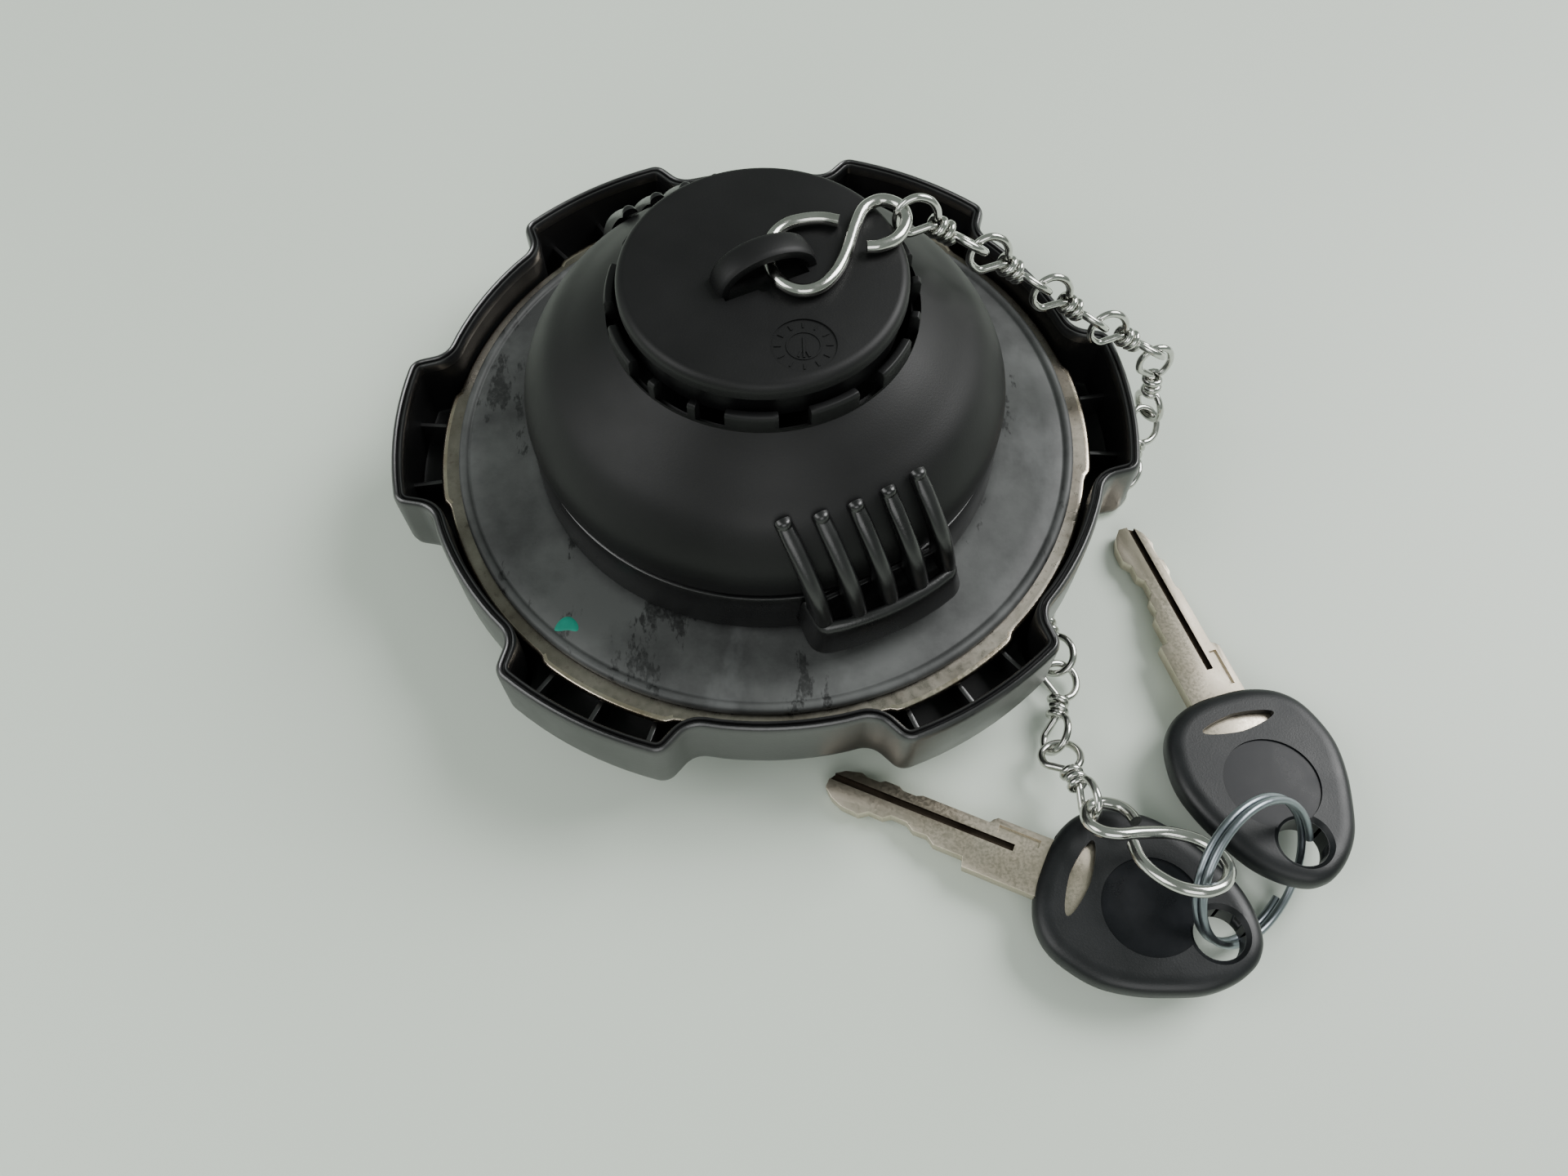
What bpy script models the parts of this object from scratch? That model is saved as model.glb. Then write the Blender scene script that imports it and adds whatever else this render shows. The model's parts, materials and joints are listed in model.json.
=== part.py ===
"""Lockable bayonet fuel filler cap, lying outer face down, with its retaining chain and two keys.

The cap's axis is +Z and passes through the origin. The lock boss stands on Z = 0.
"""

from math import asin, atan2, cos, pi, radians, sin, sqrt

import bmesh
import bpy
from mathutils import Euler, Matrix, Vector

for old in list(bpy.data.objects):
    bpy.data.objects.remove(old, do_unlink=True)

# Driving dimensions, in metres and degrees.
FIT_GAP = 0.0003

LOBE_RADIUS = 0.0633
RECESS_RADIUS = 0.0579
LOBE_COUNT = 6
LOBE_HALF_ANGLE = 14.6
LOBE_START_ANGLE = 1.5
CAP_WALL = 0.0017
CAP_BOTTOM = 0.0080
CAP_DEPTH = 0.0151
CAP_FLOOR = 0.0022
DRUM_RADIUS = 0.0535
RIB_THICKNESS = 0.0012

BOSS_RADIUS = 0.0310
FLAP_RECESS_RADIUS = 0.0240
FLAP_RECESS_DEPTH = 0.0032

PLATE_RADIUS = 0.0554
PLATE_BORE = 0.0210
PLATE_THICKNESS = 0.0012
PLATE_DROP = 0.0059
GASKET_RADIUS = 0.0530
GASKET_BORE = 0.0396
GASKET_THICKNESS = 0.0018

PLUG_RADIUS = 0.0080
PLUG_LENGTH = 0.0190
HOUSING_WALL = 0.0037
HOUSING_FLANGE = 0.0200
SCREW_COUNT = 3
SCREW_CIRCLE = 0.0163
SCREW_RADIUS = 0.0014
BOLT_WIDTH = 0.0040
BOLT_HEIGHT = 0.0030
BOLT_TRAVEL = 0.0030
CAM_RADIUS = 0.0108
CAM_THICKNESS = 0.0030

SPINDLE_RADIUS = 0.0190
SPINDLE_FLANGE = 0.0240
POST_RADIUS = 0.0060
SPLINE_COUNT = 4
SPLINE_WIDTH = 0.0030
SPRING_RADIUS = 0.0105
SPRING_WIRE = 0.0009
SPRING_TURNS = 4

COLLAR_RADIUS = 0.0392
COLLAR_HEIGHT = 0.0046
DOME_RADIUS = 0.0390
DOME_LIP_HEIGHT = 0.0105
DOME_HEIGHT = 0.0205
DOME_WALL = 0.0020
RING_RADIUS = 0.0236
RING_HEIGHT = 0.0037
LUG_ANGLE = -65.0
LUG_REACH = 0.0460
LUG_WIDTH = 0.0265
LUG_GAP = 0.0027
LUG_HEIGHT = 0.0063
LUG_RIB_COUNT = 5
LUG_RIB_PITCH = 0.0053
LUG_RIB_WIDTH = 0.0023

COVER_RADIUS = 0.0215
COVER_PROUD = 0.0037
COVER_THICKNESS = 0.0030
EYELET_ANGLE = 23.0
EYELET_SPAN = 0.0134
EYELET_RISE = 0.0046
EYELET_BAR = 0.0014

CHAIN_WIRE = 0.00075
CHAIN_PITCH = 0.0150
CHAIN_SLACK = 0.0009
CHAIN_LOOP_HALF_WIDTH = 0.0029
CHAIN_LOOP_ROLL = 37.0
HOOK_WIRE = 0.00085
HOOK_BIG_LOOP = 0.0059
HOOK_SMALL_LOOP = 0.0036
HOOK_CENTRES = 0.0129

KEY_LENGTH = 0.0627
KEY_HEAD_START = 0.0356
KEY_HEAD_WIDE = 0.0139
KEY_HEAD_NARROW = 0.0098
KEY_HEAD_LENGTH = 0.0342
KEY_HEAD_THICKNESS = 0.0050
KEY_BLADE_THICKNESS = 0.0024
KEY_BLADE_WIDTH = 0.0068
KEY_SHOULDER_WIDTH = 0.0100
KEY_HOLE = 0.0039
SPLIT_RING_RADIUS = 0.0117
SPLIT_RING_WIRE = 0.0006
SPLIT_RING_TURNS = 1.85

# Heights that follow from the sizes above.
RIM_TOP = CAP_BOTTOM + CAP_DEPTH
CAP_INNER_FLOOR = CAP_BOTTOM + CAP_FLOOR
PLATE_TOP = RIM_TOP - PLATE_DROP
PLATE_BOTTOM = PLATE_TOP - PLATE_THICKNESS
GASKET_TOP = PLATE_TOP + GASKET_THICKNESS
COLLAR_BOTTOM = GASKET_TOP + 0.0004
DOME_BOTTOM = GASKET_TOP + DOME_LIP_HEIGHT
DOME_TOP = DOME_BOTTOM + DOME_HEIGHT
RING_TOP = DOME_TOP + RING_HEIGHT
COVER_TOP = RING_TOP + COVER_PROUD

scene = bpy.context.scene
partsCollection = bpy.data.collections.new("fuel_filler_cap")
cutterCollection = bpy.data.collections.new("cutters")
scene.collection.children.link(partsCollection)
scene.collection.children.link(cutterCollection)


def material(name, colour, roughness, metallic=0.0):
    """A Principled material in the colour, roughness and metalness of one finish."""
    made = bpy.data.materials.new(name)
    made.use_nodes = True
    shader = made.node_tree.nodes["Principled BSDF"]
    shader.inputs["Base Color"].default_value = (*colour, 1.0)
    shader.inputs["Roughness"].default_value = roughness
    shader.inputs["Metallic"].default_value = metallic
    return made


BLACK = (0.018, 0.018, 0.020)
STEEL = (0.62, 0.60, 0.56)
ZINC = (0.68, 0.70, 0.71)
NICKEL = (0.66, 0.62, 0.56)
RUBBER = (0.09, 0.095, 0.105)
CASTING = (0.45, 0.45, 0.46)
BRASS = (0.62, 0.47, 0.22)


def addObject(name, mesh, finish=None):
    """Links a mesh as a part when it has a finish, or as a cutter when it has none."""
    made = bpy.data.objects.new(name, mesh)
    if finish is None:
        cutterCollection.objects.link(made)
        made.hide_render = True
        made.display_type = "WIRE"
    else:
        partsCollection.objects.link(made)
        colour, roughness, metallic = finish
        mesh.materials.append(material(name, colour, roughness, metallic))
        mesh.shade_smooth()
        mesh.set_sharp_from_angle(angle=radians(35))
    return made


def evaluatedMesh(obj):
    """The object's shape as its modifiers leave it, in world space, with loose caps welded."""
    bpy.context.view_layer.update()
    graph = bpy.context.evaluated_depsgraph_get()
    mesh = bpy.data.meshes.new_from_object(obj.evaluated_get(graph))
    mesh.transform(obj.matrix_world)
    work = bmesh.new()
    work.from_mesh(mesh)
    bmesh.ops.remove_doubles(work, verts=work.verts, dist=1e-6)
    work.to_mesh(mesh)
    work.free()
    return mesh


def settled(obj, finish=None):
    """Replaces an object by its evaluated mesh, under the same name."""
    name = obj.name
    mesh = evaluatedMesh(obj)
    bpy.data.objects.remove(obj, do_unlink=True)
    return addObject(name, mesh, finish)


def turned(name, profile, steps=48, finish=None):
    """A solid of revolution. The profile is closed, and runs down its outer side."""
    mesh = bpy.data.meshes.new(name)
    count = len(profile)
    edges = [(i, (i + 1) % count) for i in range(count)]
    mesh.from_pydata([(r, 0.0, z) for r, z in profile], edges, [])
    made = addObject(name, mesh)
    screw = made.modifiers.new("Screw", "SCREW")
    screw.steps = steps
    screw.render_steps = steps
    screw.use_merge_vertices = True
    screw.merge_threshold = 0.00001
    return settled(made, finish)


def plate(name, outline, bottom, height, finish=None):
    """A flat outline given a thickness, standing on a height."""
    curve = bpy.data.curves.new(name, "CURVE")
    curve.dimensions = "2D"
    curve.fill_mode = "BOTH"
    curve.extrude = height / 2
    spline = curve.splines.new("POLY")
    spline.points.add(len(outline) - 1)
    for point, (x, y) in zip(spline.points, outline):
        point.co = (x, y, 0.0, 1.0)
    spline.use_cyclic_u = True
    made = bpy.data.objects.new(name, curve)
    cutterCollection.objects.link(made)
    made.location.z = bottom + height / 2
    return settled(made, finish)


def wire(name, points, radius, finish=None, sides=2):
    """A round wire along a path, with closed ends."""
    curve = bpy.data.curves.new(name, "CURVE")
    curve.dimensions = "3D"
    curve.bevel_depth = radius
    curve.bevel_resolution = sides
    curve.use_fill_caps = True
    spline = curve.splines.new("POLY")
    spline.points.add(len(points) - 1)
    for point, place in zip(spline.points, points):
        point.co = (*place, 1.0)
    made = bpy.data.objects.new(name, curve)
    cutterCollection.objects.link(made)
    return settled(made, finish)


def cylinder(name, radius, bottom, top, centre=(0.0, 0.0), segments=32, finish=None):
    """A round bar standing on end."""
    mesh = bpy.data.meshes.new(name)
    work = bmesh.new()
    place = Matrix.Translation((centre[0], centre[1], (bottom + top) / 2))
    bmesh.ops.create_cone(
        work, cap_ends=True, segments=segments, radius1=radius, radius2=radius,
        depth=top - bottom, matrix=place,
    )
    work.to_mesh(mesh)
    work.free()
    return addObject(name, mesh, finish)


def box(name, low, high, turn=0.0, finish=None):
    """A block between two corners, turned about the cap's axis."""
    mesh = bpy.data.meshes.new(name)
    work = bmesh.new()
    size = Vector(high) - Vector(low)
    middle = (Vector(high) + Vector(low)) / 2
    place = Matrix.Rotation(radians(turn), 4, "Z") @ Matrix.Translation(middle)
    bmesh.ops.create_cube(work, size=1.0, matrix=place @ Matrix.Diagonal((*size, 1.0)))
    work.to_mesh(mesh)
    work.free()
    return addObject(name, mesh, finish)


def boolean(target, tool, operation):
    """Joins a tool to a target, or cuts it away, and keeps the result as the target's mesh."""
    step = target.modifiers.new(operation.title(), "BOOLEAN")
    step.operation = operation
    step.object = tool
    step.solver = "EXACT"
    mesh = evaluatedMesh(target)
    target.modifiers.clear()
    target.data = mesh
    bpy.data.objects.remove(tool, do_unlink=True)


def join(target, *tools):
    for tool in tools:
        boolean(target, tool, "UNION")


def cut(target, *tools):
    for tool in tools:
        boolean(target, tool, "DIFFERENCE")


def finished(obj, finish):
    """Moves a shaped helper among the parts, with its finish."""
    name = obj.name
    mesh = obj.data
    bpy.data.objects.remove(obj, do_unlink=True)
    return addObject(name, mesh, finish)


def setOrigin(obj, point):
    """Puts a moving part's origin on its joint's axis, with the shape where it was."""
    obj.data.transform(Matrix.Translation(-Vector(point)))
    obj.location = point


def polar(radius, angle, height=None):
    """A point at an angle in degrees round the cap's axis."""
    flat = (radius * cos(radians(angle)), radius * sin(radians(angle)))
    return flat if height is None else (*flat, height)


def arc(centre, radius, start, end, count):
    """Points along an arc in the flat, both ends included."""
    angles = [start + (end - start) * i / (count - 1) for i in range(count)]
    return [
        (centre[0] + radius * cos(radians(a)), centre[1] + radius * sin(radians(a)))
        for a in angles
    ]


def lobedOutline(inset):
    """The grip's outline, six lobes with rounded shoulders, drawn in by a wall thickness."""
    outline = []
    lobe = LOBE_RADIUS - inset
    recess = RECESS_RADIUS - inset
    pitch = 360.0 / LOBE_COUNT
    half = LOBE_HALF_ANGLE - (inset / LOBE_RADIUS) * 180 / pi
    corner = (LOBE_RADIUS - RECESS_RADIUS) * 0.35
    corner_angle = corner / lobe * 180 / pi
    for index in range(LOBE_COUNT):
        middle = LOBE_START_ANGLE + index * pitch
        for side, first in ((-1, True), (1, False)):
            edge = middle + side * half
            shoulder = [
                polar(recess, edge + side * corner_angle),
                polar(recess + 0.3 * corner, edge + side * 0.3 * corner_angle),
                polar(recess + corner, edge),
                polar(lobe - corner, edge),
                polar(lobe - 0.3 * corner, edge - side * 0.3 * corner_angle),
                polar(lobe, edge - side * corner_angle),
            ]
            outline += shoulder if first else shoulder[::-1]
            if first:
                outline += [
                    polar(lobe, edge + corner_angle + (2 * half - 2 * corner_angle) * i / 6)
                    for i in range(1, 6)
                ]
        gap = pitch - 2 * half - 2 * corner_angle
        outline += [
            polar(recess, middle + half + corner_angle + gap * i / 5) for i in range(1, 5)
        ]
    return outline


# The grip cap: an open drum with six lobes, and thin ribs between the drum and each lobe.
def makeGripCap():
    cap = plate("grip_cap", lobedOutline(0.0), CAP_BOTTOM, CAP_DEPTH)
    pocket = plate("pocket", lobedOutline(CAP_WALL), CAP_INNER_FLOOR, CAP_DEPTH)
    cut(cap, pocket)
    drum = turned("drum", [
        (DRUM_RADIUS, PLATE_BOTTOM - FIT_GAP), (DRUM_RADIUS, CAP_INNER_FLOOR - CAP_FLOOR / 2),
        (DRUM_RADIUS - CAP_WALL, CAP_INNER_FLOOR - CAP_FLOOR / 2),
        (DRUM_RADIUS - CAP_WALL, PLATE_BOTTOM - FIT_GAP),
    ], steps=54)
    join(cap, drum)
    for index in range(LOBE_COUNT):
        middle = LOBE_START_ANGLE + index * 360.0 / LOBE_COUNT
        offsets = (-6.0, 6.0) if index % 3 == 0 else (-9.5, 0.0, 9.5)
        for offset in offsets:
            rib = box(
                "rib", (DRUM_RADIUS - CAP_WALL / 2, -RIB_THICKNESS / 2, CAP_BOTTOM + CAP_FLOOR / 2),
                (LOBE_RADIUS - CAP_WALL / 2, RIB_THICKNESS / 2, PLATE_BOTTOM - FIT_GAP),
                turn=middle + offset,
            )
            join(cap, rib)
    bore = PLUG_RADIUS + HOUSING_WALL + 2 * FIT_GAP
    cut(cap, cylinder("bore", bore, 0.0, RIM_TOP))
    for angle in screwAngles():
        hole = SCREW_RADIUS + FIT_GAP
        cut(cap, cylinder("screw_hole", hole, 0.0, RIM_TOP, polar(SCREW_CIRCLE, angle), 12))
    return finished(cap, (BLACK, 0.42, 0.0))


def screwAngles():
    return [60.0 + 360.0 * i / SCREW_COUNT for i in range(SCREW_COUNT)]


# The boss that the cap lies on: a round escutcheon with a sunk face for the dust flap.
def makeEscutcheon():
    top = CAP_BOTTOM - FIT_GAP
    bore = PLUG_RADIUS + HOUSING_WALL + FIT_GAP
    boss = turned("lock_escutcheon", [
        (BOSS_RADIUS, top), (BOSS_RADIUS, 0.0015), (BOSS_RADIUS - 0.0015, 0.0),
        (FLAP_RECESS_RADIUS, 0.0), (FLAP_RECESS_RADIUS, FLAP_RECESS_DEPTH),
        (bore, FLAP_RECESS_DEPTH), (bore, top),
    ], steps=48)
    for angle in screwAngles():
        hole = SCREW_RADIUS + FIT_GAP
        cut(boss, cylinder("screw_hole", hole, 0.005, 0.02, polar(SCREW_CIRCLE, angle), 12))
    pin_seat = cylinder("pin_seat", FLAP_PIN_RADIUS + FIT_GAP, 0.001, 0.0062, FLAP_PIVOT, 16)
    cut(boss, pin_seat)
    return finished(boss, (BLACK, 0.45, 0.0))


FLAP_PIN_RADIUS = 0.0013
FLAP_PIVOT = (0.0150, 0.0)
FLAP_THICKNESS = 0.0016
FLAP_DISC_RADIUS = 0.0086
FLAP_BOTTOM = 0.0010


def makeFlap():
    """The dust flap over the keyway, on its rivet, in the sunk face of the boss."""
    disc = arc((0.0, 0.0), FLAP_DISC_RADIUS, 40, 320, 22)
    ear = arc(FLAP_PIVOT, 0.0036, -80, 80, 8)
    flap = plate("keyway_flap", disc + ear, FLAP_BOTTOM, FLAP_THICKNESS)
    hole = FLAP_PIN_RADIUS + FIT_GAP
    cut(flap, cylinder("hole", hole, 0.0, 0.01, FLAP_PIVOT, 16))
    flap = finished(flap, (ZINC, 0.3, 1.0))
    setOrigin(flap, (*FLAP_PIVOT, FLAP_BOTTOM))
    head = cylinder("flap_rivet", FLAP_PIN_RADIUS + 0.0008, 0.0002, 0.0007, FLAP_PIVOT, 16)
    shank = cylinder("shank", FLAP_PIN_RADIUS, 0.0003, 0.0058, FLAP_PIVOT, 16)
    join(head, shank)
    finished(head, (ZINC, 0.3, 1.0))


# The lock: plug, housing, cam and the bolt that ties the grip to the insert.
PLUG_BOTTOM = FLAP_RECESS_DEPTH + 0.0001
PLUG_TOP = PLUG_BOTTOM + PLUG_LENGTH
CAM_BOTTOM = PLUG_TOP + FIT_GAP
BOLT_BOTTOM = CAM_BOTTOM + CAM_THICKNESS + FIT_GAP
CROWN_TOP = BOLT_BOTTOM + BOLT_HEIGHT + 0.0006
HOUSING_RADIUS = PLUG_RADIUS + FIT_GAP + HOUSING_WALL - FIT_GAP
CROWN_RADIUS = 0.0142
FLANGE_BOTTOM = CAP_INNER_FLOOR + FIT_GAP
FLANGE_TOP = FLANGE_BOTTOM + 0.0016


def makeLock():
    plug = cylinder("lock_plug", PLUG_RADIUS, PLUG_BOTTOM, PLUG_TOP, segments=40)
    keyway = box("keyway", (-0.0042, -0.0013, 0.0), (0.0042, 0.0013, PLUG_BOTTOM + 0.016))
    cut(plug, keyway)
    finished(plug, (BRASS, 0.3, 1.0))

    inner = PLUG_RADIUS + FIT_GAP
    crown_inner = CAM_RADIUS + 0.0006
    crown_outer = CROWN_RADIUS
    crown_floor = PLUG_TOP - 0.0010
    housing = turned("lock_housing", [
        (crown_outer, CROWN_TOP), (crown_outer, FLANGE_TOP), (HOUSING_FLANGE, FLANGE_TOP),
        (HOUSING_FLANGE, FLANGE_BOTTOM), (HOUSING_RADIUS, FLANGE_BOTTOM),
        (HOUSING_RADIUS, PLUG_BOTTOM), (inner, PLUG_BOTTOM), (inner, crown_floor),
        (crown_inner, crown_floor), (crown_inner, CROWN_TOP),
    ], steps=40)
    half = BOLT_WIDTH / 2 + FIT_GAP
    window = box(
        "window", (-0.03, -half, BOLT_BOTTOM - FIT_GAP), (0.03, half, CROWN_TOP + 0.001)
    )
    cut(housing, window)
    for angle in screwAngles():
        hole = SCREW_RADIUS + FIT_GAP
        cut(housing, cylinder("hole", hole, 0.009, 0.015, polar(SCREW_CIRCLE, angle), 12))
    finished(housing, (CASTING, 0.5, 1.0))

    for index, angle in enumerate(screwAngles(), 1):
        place = polar(SCREW_CIRCLE, angle)
        head_bottom = FLANGE_TOP + FIT_GAP
        name = f"housing_screw_{index}"
        screw = cylinder(name, 0.0020, head_bottom, head_bottom + 0.0010, place, 16)
        join(screw, cylinder("shank", SCREW_RADIUS, 0.0055, head_bottom + 0.0005, place, 12))
        finished(screw, (ZINC, 0.35, 1.0))

    # The cam's groove is a spiral, so the bolt's travel is in step with the plug's turn.
    cam = cylinder("lock_cam", CAM_RADIUS, CAM_BOTTOM, CAM_BOTTOM + CAM_THICKNESS, segments=40)
    groove = wire("groove", [
        polar(CAM_PIN_START + BOLT_TRAVEL * i / 12, -90.0 * i / 12, CAM_BOTTOM + CAM_THICKNESS)
        for i in range(-3, 16)
    ], CAM_PIN_RADIUS + 0.0004, sides=3)
    cut(cam, groove)
    finished(cam, (CASTING, 0.4, 1.0))

    bolt = box(
        "lock_bolt", (-CROWN_RADIUS + 0.0002, -BOLT_WIDTH / 2, BOLT_BOTTOM),
        (CROWN_RADIUS, BOLT_WIDTH / 2, BOLT_BOTTOM + BOLT_HEIGHT),
    )
    pin_bottom = CAM_BOTTOM + CAM_THICKNESS - 0.0008
    pin_place = (CAM_PIN_START, 0.0)
    join(bolt, cylinder("pin", CAM_PIN_RADIUS, pin_bottom, BOLT_BOTTOM + 0.001, pin_place, 16))
    finished(bolt, (STEEL, 0.3, 1.0))


CAM_PIN_START = 0.0050
CAM_PIN_RADIUS = 0.0010

# The spindle turns round the lock's crown. The pressure plate holds its flange down.
SPINDLE_BORE = CROWN_RADIUS + FIT_GAP
SPINDLE_BOTTOM = FLANGE_TOP + 0.0017
NOTCH_DEPTH = BOLT_TRAVEL + 0.0004
SPINDLE_ROOF = CROWN_TOP + 0.0004
SPINDLE_TOP = SPINDLE_ROOF + 0.0022
SHOULDER_BOTTOM = SPINDLE_TOP + 0.0004
SHOULDER_TOP = SHOULDER_BOTTOM + 0.0020
SPRING_BOTTOM = SHOULDER_TOP + FIT_GAP
POST_TOP = COVER_TOP - COVER_THICKNESS - 0.0067
CLIP_BOTTOM = POST_TOP - 0.0022
SEAT_BOTTOM = CLIP_BOTTOM - 0.0015


def makeSpindle():
    flange_top = PLATE_BOTTOM - FIT_GAP
    spindle = turned("spindle", [
        (0.0, POST_TOP), (POST_RADIUS, POST_TOP), (POST_RADIUS, CLIP_BOTTOM + 0.0014),
        (POST_RADIUS - 0.0010, CLIP_BOTTOM + 0.0014), (POST_RADIUS - 0.0010, CLIP_BOTTOM),
        (POST_RADIUS, CLIP_BOTTOM), (POST_RADIUS, SPINDLE_TOP), (SPINDLE_RADIUS, SPINDLE_TOP),
        (SPINDLE_RADIUS, flange_top), (SPINDLE_FLANGE, flange_top),
        (SPINDLE_FLANGE, SPINDLE_BOTTOM), (SPINDLE_BORE, SPINDLE_BOTTOM),
        (SPINDLE_BORE, SPINDLE_ROOF), (0.0, SPINDLE_ROOF),
    ], steps=40)
    for index in range(SPLINE_COUNT):
        turn = 45.0 + index * 360.0 / SPLINE_COUNT
        join(spindle, box(
            "spline", (SPINDLE_RADIUS - 0.001, -SPLINE_WIDTH / 2, COLLAR_BOTTOM + 0.0010),
            (SPINDLE_RADIUS + 0.0013, SPLINE_WIDTH / 2, SPINDLE_TOP - 0.0010), turn,
        ))
    notch = BOLT_WIDTH / 2 + 0.0004
    for index in range(12):
        cut(spindle, box(
            "notch", (SPINDLE_BORE - 0.002, -notch, BOLT_BOTTOM - 0.0005),
            (CROWN_RADIUS + NOTCH_DEPTH, notch, SPINDLE_ROOF - 0.0001), 30.0 * index,
        ))
    finished(spindle, (BLACK, 0.5, 0.0))

    seat = turned("spring_seat", [
        (SPRING_RADIUS + 0.0020, CLIP_BOTTOM - FIT_GAP), (SPRING_RADIUS + 0.0020, SEAT_BOTTOM),
        (POST_RADIUS + FIT_GAP, SEAT_BOTTOM), (POST_RADIUS + FIT_GAP, CLIP_BOTTOM - FIT_GAP),
    ], finish=(ZINC, 0.35, 1.0))
    clip = plate(
        "retaining_clip",
        arc((0, 0), POST_RADIUS + 0.0016, 25, 335, 24)
        + arc((0, 0), POST_RADIUS - 0.0007, 335, 25, 24),
        CLIP_BOTTOM + 0.0002, 0.0010, (STEEL, 0.3, 1.0),
    )
    spring_top = SEAT_BOTTOM - FIT_GAP - SPRING_WIRE
    spring_start = SPRING_BOTTOM + SPRING_WIRE
    count = SPRING_TURNS * 12
    spring = wire("main_spring", [
        polar(SPRING_RADIUS, 360 * SPRING_TURNS * i / count,
              spring_start + (spring_top - spring_start) * i / count)
        for i in range(count + 1)
    ], SPRING_WIRE, (STEEL, 0.3, 1.0), sides=1)
    return seat, clip, spring


# Plate, gasket and the seal ring inside it, which stay with the grip.
def makeSeal():
    tabbed = []
    for index in range(LOBE_COUNT):
        middle = LOBE_START_ANGLE + index * 360.0 / LOBE_COUNT
        tab = 12.0
        tabbed += [polar(PLATE_RADIUS + 0.0009, middle + tab * i / 4) for i in range(-4, 5)]
        between = 360.0 / LOBE_COUNT - 2 * tab
        tabbed += [polar(PLATE_RADIUS, middle + tab + between * i / 10) for i in range(1, 10)]
    steel = plate("pressure_plate", tabbed, PLATE_BOTTOM, PLATE_THICKNESS)
    cut(steel, cylinder("bore", PLATE_BORE, 0.0, 0.03, segments=48))
    finished(steel, (STEEL, 0.28, 1.0))
    bottom = PLATE_TOP + FIT_GAP
    lip = 0.0004
    turned("gasket", [
        (GASKET_RADIUS, GASKET_TOP), (GASKET_RADIUS, bottom), (GASKET_BORE, bottom),
        (GASKET_BORE, GASKET_TOP - lip), (GASKET_RADIUS - 0.0022, GASKET_TOP - lip),
        (GASKET_RADIUS - 0.0014, GASKET_TOP),
    ], steps=54, finish=(RUBBER, 0.7, 0.0))
    ring_radius = 0.0300
    ring_wire = (COLLAR_BOTTOM - PLATE_TOP) / 2 - FIT_GAP
    ring_height = (COLLAR_BOTTOM + PLATE_TOP) / 2
    turned("seal_ring", [
        (ring_radius + ring_wire * cos(a), ring_height - ring_wire * sin(a))
        for a in [2 * pi * i / 8 for i in range(8)]
    ], steps=36, finish=(RUBBER, 0.6, 0.0))


# The insert: ribbed lugs on a collar, a cone that ends in a castellated ring, and its cover.
def makeLugCarrier():
    bore = SPINDLE_RADIUS + 0.0005
    hub = 0.0235
    upstand = DOME_RADIUS - DOME_WALL - FIT_GAP - 0.0006
    collar_top = COLLAR_BOTTOM + COLLAR_HEIGHT
    ledge_top = DOME_BOTTOM - 0.0016
    carrier = turned("lug_carrier", [
        (hub, SHOULDER_TOP), (hub, collar_top), (upstand - 0.0025, collar_top),
        (upstand - 0.0025, DOME_BOTTOM + 0.0022), (upstand, DOME_BOTTOM + 0.0022),
        (upstand, ledge_top), (COLLAR_RADIUS - 0.0010, ledge_top),
        (COLLAR_RADIUS - 0.0010, collar_top), (COLLAR_RADIUS, collar_top),
        (COLLAR_RADIUS, COLLAR_BOTTOM), (bore, COLLAR_BOTTOM), (bore, SHOULDER_BOTTOM),
        (POST_RADIUS + FIT_GAP, SHOULDER_BOTTOM), (POST_RADIUS + FIT_GAP, SHOULDER_TOP),
    ], steps=48)
    slot = SPLINE_WIDTH / 2 + FIT_GAP
    for index in range(SPLINE_COUNT):
        turn = 45.0 + index * 360.0 / SPLINE_COUNT
        cut(carrier, box(
            "slot", (bore - 0.003, -slot, 0.0),
            (SPINDLE_RADIUS + 0.0013 + FIT_GAP, slot, SHOULDER_BOTTOM + 0.0001), turn,
        ))
    for turn in (LUG_ANGLE, LUG_ANGLE + 180.0):
        join(carrier, lug(turn))
    return finished(carrier, (BLACK, 0.38, 0.0))


def lug(turn):
    """One bayonet lug with its sloping ribs, which run from the cone's foot to its outer edge."""
    bottom = GASKET_TOP + LUG_GAP
    inner = COLLAR_RADIUS - 0.0022
    half = LUG_WIDTH / 2
    edge_angle = asin(half / LUG_REACH) * 180 / pi
    outline = [(inner, -half + 0.0015)]
    outline += arc((0, 0), LUG_REACH, -edge_angle, edge_angle, 9)
    outline += [(inner, half - 0.0015)]
    block = plate("lug", outline, bottom, LUG_HEIGHT - 0.0022)
    body = plate(
        "lug_top", [(x - 0.0015 if x > inner else x, y * 0.96) for x, y in outline],
        bottom + 0.001, LUG_HEIGHT - 0.001,
    )
    join(block, body)
    for index in range(LUG_RIB_COUNT):
        across = (index - (LUG_RIB_COUNT - 1) / 2) * LUG_RIB_PITCH
        join(block, lugRib(across, bottom + 0.0030))
    block.data.transform(Matrix.Rotation(radians(turn), 4, "Z"))
    return block


RIB_TOP = DOME_BOTTOM + 0.0138
RIB_FOOT = DOME_BOTTOM - 0.0008
RIB_CLEAR = 0.0004
RIB_PROUD_FOOT = 0.0042
RIB_PROUD_TOP = 0.0014


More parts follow.
